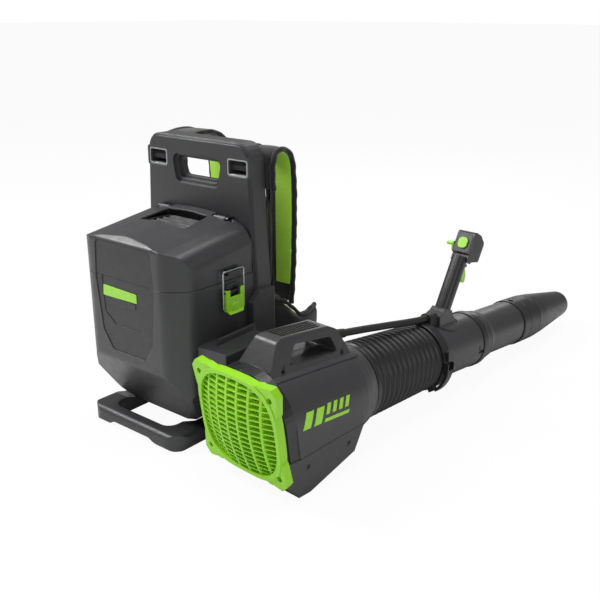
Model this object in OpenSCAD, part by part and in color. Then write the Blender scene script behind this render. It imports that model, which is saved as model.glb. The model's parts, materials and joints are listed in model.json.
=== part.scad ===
// Backpack leaf blower: carrier plate, battery box, fan unit, hose, tubes and harness.
// Millimetres. +Z is up and the floor is z = 0. +Y is forward, the way the tubes point,
// and +X is the wearer's right. The origin lies on the floor, in the middle of the plate's rear face.

/* [Carrier plate] */
// Height of the plate
plate_h = 540; // [480:5:600]
// Half width of the plate at its top edge
plate_top_half = 133; // [115:1:140]
// Half width of the plate at and below its shoulder
plate_low_half = 148; // [145:1:165]
// Height of the shoulder where the plate reaches its full width
plate_shoulder_z = 283; // [240:1:320]
// Depth of the plate from rear to front
plate_d = 40; // [30:1:50]
// Wall of the plate moulding
plate_wall = 3.5; // [2.5:0.5:5]
// Radius of the plate's top corners
plate_corner_r = 30; // [15:1:45]
// Half length of the carry opening at its top
carry_half = 54; // [45:1:60]
// Height of the carry opening
carry_h = 34; // [28:1:45]
// Distance from the plate's top edge down to the carry opening
carry_drop = 42; // [36:1:55]
// Distance of the strap slots from the middle
strap_slot_x = 106; // [95:1:110]
// Width of a strap slot
strap_slot_w = 43; // [38:1:46]
// Height of a strap slot
strap_slot_h = 24; // [18:1:30]

/* [Battery box] */
// Half width of the box
box_half = 142; // [130:1:142]
// Distance of the box's rear face from the plate
box_rear = 189; // [175:1:200]
// Half width of the flat rear face
box_rear_half = 100; // [90:1:110]
// How far the rear corners are cut back
box_corner_cut = 34; // [20:1:40]
// Height of the box's floor
box_floor_z = 24; // [16:1:35]
// Height of the seam between box and lid
seam_z = 306; // [290:1:320]
// Height of the lid's top in the middle, at the plate
lid_top_z = 411; // [400:1:425]
// Height of the lid's rear top edge
lid_rear_z = 375; // [365:1:385]
// Wall of box and lid
box_wall = 4; // [3:0.5:5]
// Wall at the rear, under the recessed panel
rear_wall = 9; // [8:0.5:12]
// Depth of the panel's recess
panel_recess = 4; // [2:0.5:5]
// Width of the battery
battery_w = 176; // [150:1:200]
// Depth of the battery
battery_d = 118; // [100:1:130]
// Height of the battery
battery_h = 208; // [180:1:215]

/* [Latches] */
// Distance of the latches from the plate
latch_y = 62; // [55:1:75]
// Width of a latch lever
latch_w = 48; // [42:1:52]
// Height of the lever's pivot
latch_pivot_z = 287; // [282:1:292]
// Distance from the lever's pivot down to the bail's pivot
latch_throw = 29; // [24:1:32]
// Length of the bail
bail_len = 69; // [64:1:74]
// Diameter of the bail's wire
bail_wire = 3.2; // [2.4:0.2:4]

/* [Foot bar] */
// Distance of the foot bar's rear face from the plate
bar_y = 198; // [190:1:210]
// Half length of the foot bar
bar_half = 125; // [115:1:135]
// Depth of the foot bar
bar_d = 26; // [20:1:34]
// Height of the foot bar's top
bar_top_z = 32; // [30:1:44]
// Clearance under the bar between its feet
bar_lift = 12; // [6:1:16]
// Half width of the gap between the feet
foot_gap_half = 72; // [60:1:85]

/* [Fan unit] */
// How far the fan's axis turns outward, in degrees
fan_yaw = 4.35; // [2:0.05:8]
// How far the fan's axis points down, in degrees
fan_dip = 3.73; // [1:0.01:5]
// How far the grille's top leans to the rear, in degrees
grille_lean = 8; // [4:0.5:12]
// Radius of the fan barrel
barrel_r = 91; // [86:0.5:94]
// Wall of the fan's shells
barrel_wall = 3; // [2.5:0.5:4]
// Distance from the grille to the barrel's front edge
barrel_y0 = 45; // [40:1:50]
// Distance from the grille to the barrel's outlet
barrel_y1 = 272; // [262:1:300]
// Radius of the fan's outlet
outlet_r = 78; // [74:0.5:80]
// Half size of the grille's opening
grille_half = 87; // [83:0.5:88]
// Distance of the grille's screws from its middle, sideways
ear_x = 84; // [80:0.5:88]
// Distance of the grille's screws from its middle, up and down
ear_z = 74; // [70:0.5:80]
// Number of thick ribs in the grille
rib_count = 6; // [4:1:8]
// Number of thin slats in the grille
slat_count = 17; // [11:1:21]
// Number of rotor blades
blade_count = 9; // [5:1:13]
// Radius of the rotor's hub
hub_r = 34; // [28:1:38]
// Half width of the fan's carry handle
fan_grip_half = 20; // [16:1:24]

/* [Hose and tubes] */
// Outer radius of the hose at its rear
hose_r0 = 76; // [72:0.5:78]
// Outer radius of the hose at its front
hose_r1 = 68.5; // [66:0.5:72]
// Number of ribs on the hose
hose_ribs = 13; // [8:1:20]
// Depth of a rib
rib_depth = 6; // [3:0.5:8]
// Distance from the grille to the hose's front end
hose_y1 = 508; // [495:1:560]
// Wall of the hose
hose_wall = 2; // [1.5:0.5:3]
// Outer radius of the handle tube
handle_tube_r = 60; // [58:0.5:62]
// Distance from the grille to the handle tube's front end
handle_tube_y1 = 672; // [650:1:720]
// Outer radius of the mid tube
mid_tube_r = 51; // [47:0.5:52]
// Distance from the grille to the mid tube's front end
mid_tube_y1 = 885; // [865:1:900]
// Distance from the grille to the nozzle's rear end
nozzle_y0 = 846; // [835:1:860]
// Distance from the grille to the nozzle's tip
nozzle_y1 = 1101; // [1060:1:1150]
// Outer radius of the nozzle's tip
nozzle_tip_r = 32; // [30:0.5:38]
// Wall of the tubes
tube_wall = 2.5; // [2:0.5:4]

/* [Control handle] */
// How far the grip leans forward, in degrees
grip_lean = 24.5; // [10:0.5:28]
// Width of the grip
grip_w = 32; // [30:1:38]
// Depth of the grip
grip_d = 27; // [24:1:34]
// Length of the grip up to the head
grip_len = 130; // [115:1:145]
// Height of the control head
head_h = 70; // [60:1:78]
// Width of the control head
head_w = 41; // [38:1:52]
// Depth of the control head
head_d = 55; // [50:1:60]

/* [Harness] */
// Width of a shoulder strap
strap_w = 70; // [56:1:76]
// Thickness of a shoulder strap
strap_t = 13; // [9:1:13]
// Distance of the straps' middle from the plate's middle
strap_x = 116; // [105:1:120]
// Thickness of the hip belt's wings
belt_t = 16; // [10:1:18]
// Thickness of the back pad
pad_t = 24; // [14:1:28]

/* [Hidden] */
$fn = 64;
eps = 0.01;
// Gap between pieces that are laid beside each other
seat = 0.3;
// Radial clearance of a pin in its bore
pin_gap = 0.05;
// Gap of the seam between box and lid
seam_gap = 0.6;

function unit(v) = v / norm(v);

// Corner p of an outline, turned into an arc of radius r
function fillet(a, p, b, r, n) = r <= 0 ? [p] :
    let (u = unit(a - p), v = unit(b - p), half = acos(u * v) / 2,
         s = p + u * r / tan(half), c = p + unit(u + v) * r / sin(half),
         a0 = atan2(s.y - c.y, s.x - c.x),
         turn = (180 - 2 * half) * sign(cross(p - a, b - p)))
    [for (i = [0:n]) c + r * [cos(a0 + turn * i / n), sin(a0 + turn * i / n)]];

// Outline p with every corner rounded by r, one radius or a list of them
function rounded(p, r, n = 5) = let (m = len(p))
    [for (i = [0:m - 1]) each fillet(p[(i + m - 1) % m], p[i], p[(i + 1) % m],
        is_list(r) ? r[i] : r, n)];

// Superellipse of half sizes a and b
function squircle(a, b, power, n) = [for (i = [0:n - 1]) let (t = 360 * i / n)
    [a * sign(cos(t)) * pow(abs(cos(t)), 2 / power),
     b * sign(sin(t)) * pow(abs(sin(t)), 2 / power)]];

// Smooth curve through points p, with k steps between two of them
function curve_at(a, b, c, d, t) = 0.5 * (2 * b + (c - a) * t + (2 * a - 5 * b + 4 * c - d) * t * t
    + (3 * b - a - 3 * c + d) * t * t * t);
function smooth(p, k) = let (m = len(p) - 1) concat([for (i = [0:m - 1], j = [0:k - 1])
    curve_at(p[max(i - 1, 0)], p[i], p[i + 1], p[min(i + 2, m)], j / k)], [p[m]]);

// Direction of travel at point i of a path
function heading(p, i) = unit(p[min(i + 1, len(p) - 1)] - p[max(i - 1, 0)]);

// Rings of a band that follows path p: side is the width's direction, section its outline.
// The last third of the path narrows the band to a share of its width.
function band_rings(p, side, section, narrow = 1) = let (last = len(p) - 1) [for (i = [0:last])
    let (n = cross(heading(p, i), side), w = 1 - (1 - narrow) * max(0, 3 * i / last - 2))
    [for (s = section) p[i] + side * s.x * w + n * s.y]];

// Closed solid through rings of points
module skin(rings) {
    m = len(rings[0]);
    last = len(rings) - 1;
    polyhedron([for (r = rings) each r], concat(
        [for (i = [0:last - 1], j = [0:m - 1]) each [
            [i * m + j, (i + 1) * m + j, (i + 1) * m + (j + 1) % m],
            [i * m + j, (i + 1) * m + (j + 1) % m, i * m + (j + 1) % m]]],
        [for (j = [1:m - 2]) [0, j, j + 1]],
        [for (j = [1:m - 2]) [last * m, last * m + j + 1, last * m + j]]));
}

// Outline of Y and Z, w wide along X about the middle
module along_x(w) {
    rotate([90, 0, 90]) linear_extrude(w, center = true) children();
}

// Outline of X and Z, from y0 to y1
module along_y(y0, y1) {
    translate([0, y1, 0]) rotate([90, 0, 0]) linear_extrude(y1 - y0) children();
}

// Solid of revolution about Y from an outline of radius and Y
module turned(outline) {
    rotate([-90, 0, 0]) rotate_extrude() polygon(outline);
}

module rod_x(x0, x1, r) {
    translate([x0, 0, 0]) rotate([0, 90, 0]) cylinder(h = x1 - x0, r = r);
}

module rod_y(y0, y1, r) {
    translate([0, y0, 0]) rotate([-90, 0, 0]) cylinder(h = y1 - y0, r = r);
}

module tube_y(y0, y1, r, bore) {
    turned([[bore, y0], [r, y0], [r, y1], [bore, y1]]);
}

// Screw with a recessed head, its shank along -Z from the head's underside at z = 0
module screw(head_r, head_t, shank_r, shank) {
    difference() {
        union() {
            cylinder(h = head_t, r = head_r);
            translate([0, 0, -shank]) cylinder(h = shank + eps, r = shank_r);
        }
        translate([0, 0, head_t - 1.2]) cylinder(h = 2, r = head_r * 0.45, $fn = 6);
    }
}

module both_sides() {
    children();
    mirror([1, 0, 0]) children();
}

// ---------------------------------------------------------------- carrier plate

// Outline of the plate in X and Z, drawn in by t
function plate_outline(t) = rounded([[-plate_low_half + t, t], [plate_low_half - t, t],
    [plate_low_half - t, plate_shoulder_z], [plate_top_half - t, plate_h - t],
    [-plate_top_half + t, plate_h - t], [-plate_low_half + t, plate_shoulder_z]],
    [6, 6, 60, plate_corner_r - t * 0.6, plate_corner_r - t * 0.6, 60]);

carry_top = plate_h - carry_drop;
carry_low = carry_top - carry_h;
carry_taper = 10;
carry_d = 24;

// Outline of the carry opening, grown by t
function carry_outline(t) = rounded([[-carry_half + carry_taper - t, carry_low - t],
    [carry_half - carry_taper + t, carry_low - t], [carry_half + t, carry_top + t * 0.6],
    [-carry_half - t, carry_top + t * 0.6]], 8 + t * 0.5);

strap_slot_z = plate_h - 45;
slot_frame_t = 3;

// Outline of a strap slot about its own middle, grown by t
function slot_outline(t) = rounded([[-strap_slot_w / 2 - t, -strap_slot_h / 2 - t],
    [strap_slot_w / 2 + t, -strap_slot_h / 2 - t], [strap_slot_w / 2 + t, strap_slot_h / 2 + t],
    [-strap_slot_w / 2 - t, strap_slot_h / 2 + t]], 3 + t * 0.5);

module at_slots() {
    for (s = [-1, 1]) translate([s * strap_slot_x, 0, strap_slot_z]) children();
}

rim_bevel = 5;
heel_half = 60;
webbing_z = 244;
heel_y = 4;
column_z = 272;
column_d = 20;
column_x0 = box_half + 2;
column_x1 = plate_low_half + 10;

module back_plate() color([0.23, 0.23, 0.235]) difference() {
    union() {
        difference() {
            union() {
                along_y(rim_bevel, plate_d) polygon(plate_outline(0));
                along_y(0, rim_bevel + eps) polygon(plate_outline(rim_bevel));
                along_y(rim_bevel / 2, rim_bevel + eps) polygon(plate_outline(rim_bevel * 0.3));
            }
            along_y(plate_wall, plate_d + 1) polygon(plate_outline(rim_bevel + plate_wall));
        }
        along_y(eps, carry_d) polygon(carry_outline(13 + plate_wall));
        at_slots() along_y(eps, plate_d) polygon(slot_outline(5 + plate_wall));
        // rib under the rear face, level with the plate's lower edge
        translate([-heel_half, -heel_y, 0]) cube([2 * heel_half, heel_y + rim_bevel + 1, 14]);
        // columns beside the lower half of the box
        both_sides() translate([column_x0, 0, 0]) rotate([90, 0, 90])
            linear_extrude(column_x1 - column_x0) polygon([[plate_d, 0], [plate_d, column_z],
                [0, column_z], [-column_d, column_z - column_d], [-column_d, 0]]);
        // webs that the box and the bracket are bolted to
        for (x = [-62, 62]) translate([x - 2, plate_wall - eps, plate_wall])
            cube([4, plate_d - plate_wall, 420]);
        for (z = [200, webbing_z - 3]) translate([-plate_low_half + 8, plate_wall - eps, z])
            cube([2 * plate_low_half - 16, plate_d - plate_wall, 6]);
    }
    along_y(-1, plate_d + 1) polygon(carry_outline(0));
    along_y(-1, 6) polygon(carry_outline(13));
    along_y(5, 13) polygon(carry_outline(6));
    at_slots() {
        along_y(-1, plate_d + 1) polygon(slot_outline(0));
        along_y(-1, slot_frame_t) polygon(slot_outline(4));
    }
    // threaded holes of the box and bracket bolts
    for (x = [-62, 62], z = box_bolt_z) translate([x, 0, z]) rod_y(-1, 14, box_bolt_r + pin_gap);
}

box_bolt_z = [90, 270];
box_bolt_r = 2.5;

// A round wire frame in each slot's recess, with a bar across it
module strap_slot_frames() color([0.62, 0.63, 0.62]) at_slots() difference() {
    along_y(seat, slot_frame_t - seat) polygon(slot_outline(4 - seat));
    along_y(-1, slot_frame_t + 1) polygon(slot_outline(1));
}

// Webbing that comes through a slot and is folded round a bar behind it
module strap_anchors() color([0.07, 0.07, 0.07]) at_slots() difference() {
    translate([-strap_slot_w / 2 + seat, 6, -strap_slot_h / 2 + 3])
        cube([strap_slot_w - 2 * seat, plate_d - 6 + 2.6, strap_slot_h - 6]);
    translate([-strap_slot_w, 5, -2]) cube([2 * strap_slot_w, 9, 4]);
}

// ---------------------------------------------------------------- foot bar

arm_inner = 84;
arm_low_z = 22;

// Rounded U that lies on the floor, its arms screwed to the plate's lower edge
module base_frame() color([0.22, 0.22, 0.225]) intersection() {
    linear_extrude(bar_top_z) polygon(rounded([[-bar_half, -bar_y], [bar_half, -bar_y], [bar_half, -seat],
        [arm_inner, -seat], [arm_inner - 4, -bar_y + bar_d], [-arm_inner + 4, -bar_y + bar_d],
        [-arm_inner, -seat], [-bar_half, -seat]], [38, 38, 0, 0, 22, 22, 0, 0], 8));
    // side view: high at the bar, low under the box
    along_x(2 * bar_half + 2) polygon(rounded([[-bar_y, 0], [-seat, 0], [-seat, arm_low_z],
        [-108, arm_low_z], [-138, bar_top_z], [-bar_y, bar_top_z]], [9, 0, 0, 16, 16, 11]));
    // rear view: a clear gap between the feet
    along_y(-bar_y - 1, 0) polygon(rounded([[-bar_half, 0], [-foot_gap_half, 0],
        [-foot_gap_half + 22, bar_lift], [foot_gap_half - 22, bar_lift], [foot_gap_half, 0],
        [bar_half, 0], [bar_half, bar_top_z], [-bar_half, bar_top_z]], [6, 6, 14, 14, 6, 6, 10, 10]));
}

// ---------------------------------------------------------------- battery box

box_low_half = 64;
box_waist_half = 112;
box_waist_z = 42;
box_side_z = 118;
box_slope_z = 145;
box_slope_y = 117;

// Outlines of the box, drawn in by t, and by r at the rear
function box_plan(t, r) = rounded([[-box_half + t, -t], [-box_half + t, -box_rear + box_corner_cut],
    [-box_rear_half + t * 0.3, -box_rear + r], [box_rear_half - t * 0.3, -box_rear + r],
    [box_half - t, -box_rear + box_corner_cut], [box_half - t, -t]], [0, 28, 34, 34, 28, 0], 6);
function box_front(t) = rounded([[-box_low_half + t, box_floor_z + t],
    [box_low_half - t, box_floor_z + t], [box_waist_half - t, box_waist_z + t * 0.9],
    [box_half - t, box_side_z + t * 0.4], [box_half - t, lid_top_z + 20],
    [-box_half + t, lid_top_z + 20], [-box_half + t, box_side_z + t * 0.4],
    [-box_waist_half + t, box_waist_z + t * 0.9]], [8, 8, 20, 30, 0, 0, 30, 20]);
function box_side(t, r) = rounded([[-t, box_floor_z + t], [-t, lid_top_z + 20],
    [-box_rear + r, lid_top_z + 20], [-box_rear + r, box_slope_z],
    [-box_slope_y + t * 0.6, box_floor_z + t]], [0, 0, 0, 24, 10]);

module box_form(t, r, low, high) intersection() {
    translate([0, 0, low]) linear_extrude(high - low) polygon(box_plan(t, r));
    along_y(-box_rear - 1, 1) polygon(box_front(t));
    along_x(2 * box_half + 2) polygon(box_side(t, r));
}

panel_top_half = 76;
panel_low_half = 70;
panel_low_z = 200;
panel_tip_half = 45;
panel_tip_z = 163;
// Half width of the rear panel at the seam
panel_seam_half = 82;

// Outline of the recess in the box's rear, grown by t
function tub_panel(t) = rounded([[-panel_tip_half - t, panel_tip_z - t],
    [panel_tip_half + t, panel_tip_z - t], [panel_low_half + t, panel_low_z - t * 0.4],
    [panel_seam_half + t, seam_z + 5], [-panel_seam_half - t, seam_z + 5],
    [-panel_low_half - t, panel_low_z - t * 0.4]], [10, 10, 20, 0, 0, 20]);

module battery_box() color([0.23, 0.23, 0.235]) difference() {
    union() {
        difference() {
            box_form(0, 0, 0, seam_z);
            box_form(box_wall, rear_wall, box_floor_z + box_wall, seam_z + 1);
            along_y(-box_rear - 1, -box_rear + panel_recess) polygon(tub_panel(0));
        }
        // bosses behind the bolts
        for (x = [-62, 62], z = box_bolt_z) translate([x, 0, z])
            rod_y(-14, -box_wall + eps, 8);
    }
    for (x = [-62, 62], z = box_bolt_z) translate([x, 0, z]) rod_y(-15, 1, box_bolt_r + 0.3);
    // seal groove round the rim
    seal_ring(seam_z - seal_d, seam_z + 1, 0);
    // holes of the latch bases' screws
    for (s = [-1, 1], y = latch_screw_y) translate([s * box_half, -latch_y + y, latch_pivot_z])
        rod_x(-box_wall - 1, box_wall + 1, latch_screw_r + pin_gap);
}

seal_d = 2;
seal_w = 1.6;
seal_in = panel_recess + 1.2;

// Ring along the middle of the box's rim, drawn in by t on each side
module seal_ring(low, high, t) difference() {
    box_form(1.2 + t, seal_in + t, low, high);
    box_form(1.2 + seal_w - t, seal_in + seal_w - t, low - 1, high + 1);
}

module lid_seal() color([0.06, 0.06, 0.06]) seal_ring(seam_z - seal_d, seam_z + seam_gap - 0.5, 0.05);

// Dark panel in the recess, with a raised lower lip
module rear_panel() color([0.17, 0.17, 0.175]) difference() {
    along_y(-box_rear + 1.2, -box_rear + panel_recess) polygon(tub_panel(-seat));
    translate([0, 0, seam_z]) linear_extrude(20) square(2 * box_rear, center = true);
    along_y(-box_rear, -box_rear + 2.2) polygon(rounded([[-34, 215], [34, 215], [62, 236],
        [66, seam_z + 20], [-66, seam_z + 20], [-62, 236]], [6, 6, 12, 0, 0, 12]));
}

rails_z = 66;
battery_y = box_wall + 14 + battery_d / 2;

module battery_pack() color([0.12, 0.12, 0.125]) translate([0, -battery_y, rails_z + 8]) {
    linear_extrude(battery_h) polygon(rounded([[-battery_w / 2, -battery_d / 2],
        [battery_w / 2, -battery_d / 2], [battery_w / 2, battery_d / 2],
        [-battery_w / 2, battery_d / 2]], 10));
    // carry loop on top
    translate([0, 0, battery_h]) along_y(-9, 9) difference() {
        polygon(rounded([[-44, -eps], [44, -eps], [36, 26], [-36, 26]], [0, 0, 8, 8]));
        polygon(rounded([[-32, 6], [32, 6], [27, 18], [-27, 18]], 3));
    }
}

// Ledge that carries the battery, a terminal block and two guide rails on the tub's front wall
module battery_rails() color([0.3, 0.3, 0.31]) {
    difference() {
        translate([-60, -battery_y - battery_d / 2 + 8, rails_z])
            cube([120, battery_y + battery_d / 2 - 8 - box_wall, 8]);
        for (x = [-40, 40]) translate([x, -battery_y, rails_z - 1]) cylinder(h = 10, r = 12);
    }
    for (x = [-58, 50]) translate([x, -battery_y - 30, box_floor_z + box_wall])
        cube([8, 60, rails_z - box_floor_z - box_wall + eps]);
    for (x = [-40, 32]) translate([x, -box_wall - 13, rails_z + 8 - eps]) cube([8, 13, 120]);
}

module controller_board() color([0.05, 0.2, 0.12]) {
    translate([-45, -battery_y - 26, box_floor_z + box_wall + 6]) {
        difference() {
            cube([90, 70, 1.6]);
            for (x = [5, 85], y = [5, 65]) translate([x, y, -1]) cylinder(h = 4, r = 1.6);
        }
        translate([14, 12, 1.6 - eps]) cube([30, 26, 10]);
        for (x = [56, 70], y = [16, 34, 52]) translate([x, y, 1.6 - eps]) cylinder(h = 14, r = 5.5);
    }
    for (x = [-40, 40], y = [-21, 39]) translate([x, -battery_y + y, box_floor_z + box_wall])
        cylinder(h = 6 + eps, r = 4);
}

// ---------------------------------------------------------------- lid

hinge_y = 13;
hinge_z = lid_top_z - 11;
hinge_r = 3;
knuckle_r = 5.5;
hinge_x = 76;
knuckle_half = 12;
lug_t = 7;
lid_gap = 4;

function lid_front(t) = rounded([[-box_half + t, seam_z - 40], [box_half - t, seam_z - 40],
    [box_half - t, lid_top_z - 44 - t * 0.4], [box_half - 16 - t * 0.6, lid_top_z - 19 - t],
    [100 - t * 0.5, lid_top_z - 10 - t], [60, lid_top_z - 4 - t], [0, lid_top_z - t],
    [-60, lid_top_z - 4 - t], [-100 + t * 0.5, lid_top_z - 10 - t],
    [-box_half + 16 + t * 0.6, lid_top_z - 19 - t], [-box_half + t, lid_top_z - 44 - t * 0.4]],
    [0, 0, 22, 28, 40, 60, 200, 60, 40, 28, 22]);
function lid_side(t, r) = rounded([[-t, seam_z - 30], [-t, lid_top_z - 7 - t], [-9, lid_top_z - t],
    [-60, lid_top_z - 5 - t], [-165 + r * 0.5, lid_top_z - 17 - t],
    [-box_rear + r, lid_rear_z + 1 - t], [-box_rear + r, seam_z - 30]], [0, 2, 8, 100, 20, 10, 0]);

lid_fall = 8;

module lid_form(t, r, low) intersection() {
    translate([0, -lid_gap, low]) linear_extrude(200)
        polygon([for (p = box_plan(t, r)) [p.x, min(p.y + lid_gap, -t)]]);
    // the crown falls towards the rear
    translate([0, 0, lid_top_z]) rotate([lid_fall, 0, 0]) translate([0, 0, -lid_top_z])
        along_y(-box_rear - 20, 20) polygon(lid_front(t));
    along_x(2 * box_half + 2) polygon(lid_side(t, r));
}

vent_half = 62;
vent_y0 = 94;
vent_y1 = 26;
vent_floor_z = lid_top_z - 32;

function vent_outline(t) = rounded([[-vent_half - t, -vent_y0 - t], [vent_half + t, -vent_y0 - t],
    [vent_half - 8 + t, -vent_y1 + t], [-vent_half + 8 - t, -vent_y1 + t]], 6);

// Outline of the recess in the lid's rear, grown by t
function lid_panel_outline(t) = [[-panel_seam_half - t, seam_z - 20],
    [panel_seam_half + t, seam_z - 20], [panel_top_half + t, lid_rear_z - 8],
    [panel_top_half - 6, lid_rear_z - 2 + t], [-panel_top_half + 6, lid_rear_z - 2 + t],
    [-panel_top_half - t, lid_rear_z - 8]];

module battery_lid() color([0.23, 0.23, 0.235]) difference() {
    union() {
        difference() {
            lid_form(0, 0, seam_z + seam_gap);
            lid_form(box_wall, rear_wall, seam_z);
            along_y(-box_rear - 1, -box_rear + panel_recess) polygon(lid_panel_outline(0));
            // room for the hinge lugs on the plate
            both_sides() translate([hinge_x - knuckle_half - lug_t - 1, -hinge_y - knuckle_r - 2,
                hinge_z - knuckle_r - 3]) cube([2 * (knuckle_half + lug_t + 1), 40, 60]);
        }
        // knuckles of the hinge, on their own webs
        both_sides() translate([0, -hinge_y, hinge_z]) {
            rod_x(hinge_x - knuckle_half, hinge_x + knuckle_half, knuckle_r);
            translate([hinge_x - knuckle_half, -knuckle_r - 4, -knuckle_r - 4])
                cube([2 * knuckle_half, knuckle_r + 4, 10]);
        }
        // ledge that the vent insert sits on
        difference() {
            translate([0, 0, vent_floor_z - 3]) linear_extrude(14) polygon(vent_outline(3));
            translate([0, 0, vent_floor_z - 4]) linear_extrude(20) polygon(vent_outline(-4));
        }
    }
    both_sides() translate([0, -hinge_y, hinge_z]) rod_x(0, 130, hinge_r + pin_gap);
    translate([0, 0, vent_floor_z]) linear_extrude(60) polygon(vent_outline(0));
}

// Louvres between two side rails
module lid_vent() color([0.13, 0.13, 0.135]) {
    translate([0, 0, vent_floor_z]) linear_extrude(2.5) difference() {
        polygon(vent_outline(-seat));
        polygon(vent_outline(-12));
    }
    fin_n = 4;
    for (i = [0:fin_n - 1]) translate([0, -vent_y0 + 14 + i * (vent_y0 - vent_y1 - 24) / (fin_n - 1),
        vent_floor_z]) along_x(2 * vent_half - 26) polygon([[-6, 0], [4, 0], [8, 11], [4.5, 12]]);
    translate([0, -vent_y0 + 2.5, vent_floor_z]) along_x(2 * vent_half - 10)
        polygon([[-2, 0], [2, 0], [2, 9], [-2, 7]]);
}

module lid_panel() color([0.17, 0.17, 0.175]) intersection() {
    along_y(-box_rear + 1.2, -box_rear + panel_recess) polygon(lid_panel_outline(-seat));
    translate([0, 0, seam_z + seam_gap]) linear_extrude(100) square(4 * box_rear, center = true);
}

// Ledge under each bail's cross wire
keeper_w = 30;
bail_top_z = latch_pivot_z - latch_throw + bail_len;
latch_x = box_half + 7.5;

module lid_keepers() color([0.08, 0.08, 0.08]) both_sides()
    translate([box_half, -latch_y, bail_top_z]) {
        translate([0, -keeper_w / 2, -bail_wire / 2 - seat - 7]) cube([latch_x - box_half + 2, keeper_w, 7]);
        translate([0, -keeper_w / 2, -bail_wire / 2 - seat - 7]) cube([3, keeper_w, 13]);
    }

module lid_hinge() color([0.3, 0.3, 0.3]) both_sides() {
    // lugs stand on the plate, either side of the lid's knuckle
    for (s = [-1, 1]) translate([hinge_x + s * (knuckle_half + lug_t / 2 + 0.3), 0, hinge_z])
        along_x(lug_t - 0.6) polygon(rounded([[-eps, -knuckle_r - 2], [-eps, knuckle_r - 1],
            [-hinge_y - knuckle_r + 1, knuckle_r - 1], [-hinge_y - knuckle_r + 1, -knuckle_r]],
            [0, 2, 5, 5]));
    translate([0, -hinge_y, hinge_z])
        rod_x(hinge_x - knuckle_half - lug_t, hinge_x + knuckle_half + lug_t, hinge_r);
}

// ---------------------------------------------------------------- draw latches

latch_pin_r = 2;
latch_screw_y = [-7, 7];
latch_screw_r = 1.5;
base_t = 2;
// Outer face of the base's ears, and the space between them and the lever
ear_half = 13;
ear_t = 4;
ear_gap = 0.4;
// How far the lever hangs below the bail's pivot
lever_tail = 13;

module at_latch(z) {
    translate([latch_x, -latch_y, z]) children();
}

// Base plate with two ears and the lever's pivot pin
module latch_bases() color([0.1, 0.1, 0.1]) both_sides() {
    translate([box_half + eps, -latch_y - ear_half, latch_pivot_z - 24]) cube([base_t, 2 * ear_half, 38]);
    for (y = [-ear_half, ear_half - ear_t]) translate([box_half + eps, -latch_y + y, latch_pivot_z - 4])
        cube([latch_x - box_half + 3, ear_t, 8]);
    at_latch(latch_pivot_z) rod_y(-latch_w / 2 + 1, latch_w / 2 - 1, latch_pin_r);
    // screws into the tub
    for (y = latch_screw_y) translate([box_half, -latch_y + y, latch_pivot_z])
        rod_x(-box_wall, eps, latch_screw_r);
}

// Lever: two cheeks on the pivot, and a thumb plate that hangs below it
module latch_lever() color([0.45, 0.72, 0.08]) difference() {
    union() {
        for (s = [-1, 1]) translate([0, s * (latch_w / 2 - 3), 0]) rotate([90, 0, 0])
            linear_extrude(4, center = true) polygon(rounded([[-4, 5], [4.5, 5], [4.5, -latch_throw - 7],
                [-3.5, -latch_throw - 4]], 3));
        // thumb plate, narrower and rounded at its lower end
        intersection() {
            translate([2, 0, 0]) rotate([90, 0, 0]) linear_extrude(latch_w - 2, center = true)
                polygon(rounded([[0, 4], [2.5, 5.5], [2.5, -latch_throw - 6],
                [5.5, -latch_throw - lever_tail + 1], [2.5, -latch_throw - lever_tail + 0.5],
                [-1.5, -latch_throw - 8], [-1.5, -10], [0, -8]], 1));
            rotate([90, 0, 90]) linear_extrude(30, center = true) polygon(rounded([
                [-latch_w / 2 + 1, 6], [-latch_w / 2 + 1, -latch_throw - 3],
                [-latch_w / 2 + 8, -latch_throw - lever_tail], [latch_w / 2 - 8, -latch_throw - lever_tail],
                [latch_w / 2 - 1, -latch_throw - 3], [latch_w / 2 - 1, 6]], [2, 4, 7, 7, 4, 2]));
        }
    }
    rod_y(-latch_w, latch_w, latch_pin_r + pin_gap);
    translate([0, 0, -latch_throw]) rod_y(-latch_w, latch_w, bail_wire / 2 + pin_gap);
    // window above the thumb plate, round the base's ears
    translate([-10, -ear_half - ear_gap, -9]) cube([30, 2 * (ear_half + ear_gap), 30]);
}

// Bail: two legs, a cross wire at the top, and two ends turned in to the lever's cheeks
module latch_bail() color([0.6, 0.6, 0.6]) {
    half = latch_w / 2 + 2.5;
    bend = 4;
    r = bail_wire / 2;
    for (s = [-1, 1]) {
        translate([0, s * half, 0]) cylinder(h = bail_len - bend, r = r);
        translate([0, s * (half - bend), bail_len - bend]) rotate([90, 0, s > 0 ? 90 : -90])
            rotate_extrude(angle = 90) translate([bend, 0]) circle(r);
        translate([0, s > 0 ? half - 6 : -half, 0]) rod_y(0, 6, r);
        translate([0, s * half, 0]) sphere(r);
    }
    translate([0, 0, bail_len]) rod_y(-half + bend, half - bend, r);
}

module latch_lever_right() at_latch(latch_pivot_z) latch_lever();
module latch_lever_left() mirror([1, 0, 0]) latch_lever_right();
module latch_bail_right() at_latch(latch_pivot_z - latch_throw) latch_bail();
module latch_bail_left() mirror([1, 0, 0]) latch_bail_right();

// ---------------------------------------------------------------- fan unit

// Middle of the grille's plane
fan_at = [290, -204, 123];

// The fan's own frame: Y runs along its axis towards the nozzle
module on_fan() {
    translate(fan_at) rotate([-fan_dip, 0, -fan_yaw]) children();
}

// The grille's frame leans with the front of the housing
module on_grille() {
    on_fan() rotate([fan_dip + grille_lean, 0, 0]) children();
}

seam_front_z = -48;
seam_rear_z = -32;
barrel_shoulder_y = 212;
spigot_r = hose_r0 - rib_depth - hose_wall - 0.6;
bore_r = barrel_r - barrel_wall;
mouth_half = barrel_r - 13;

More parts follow.
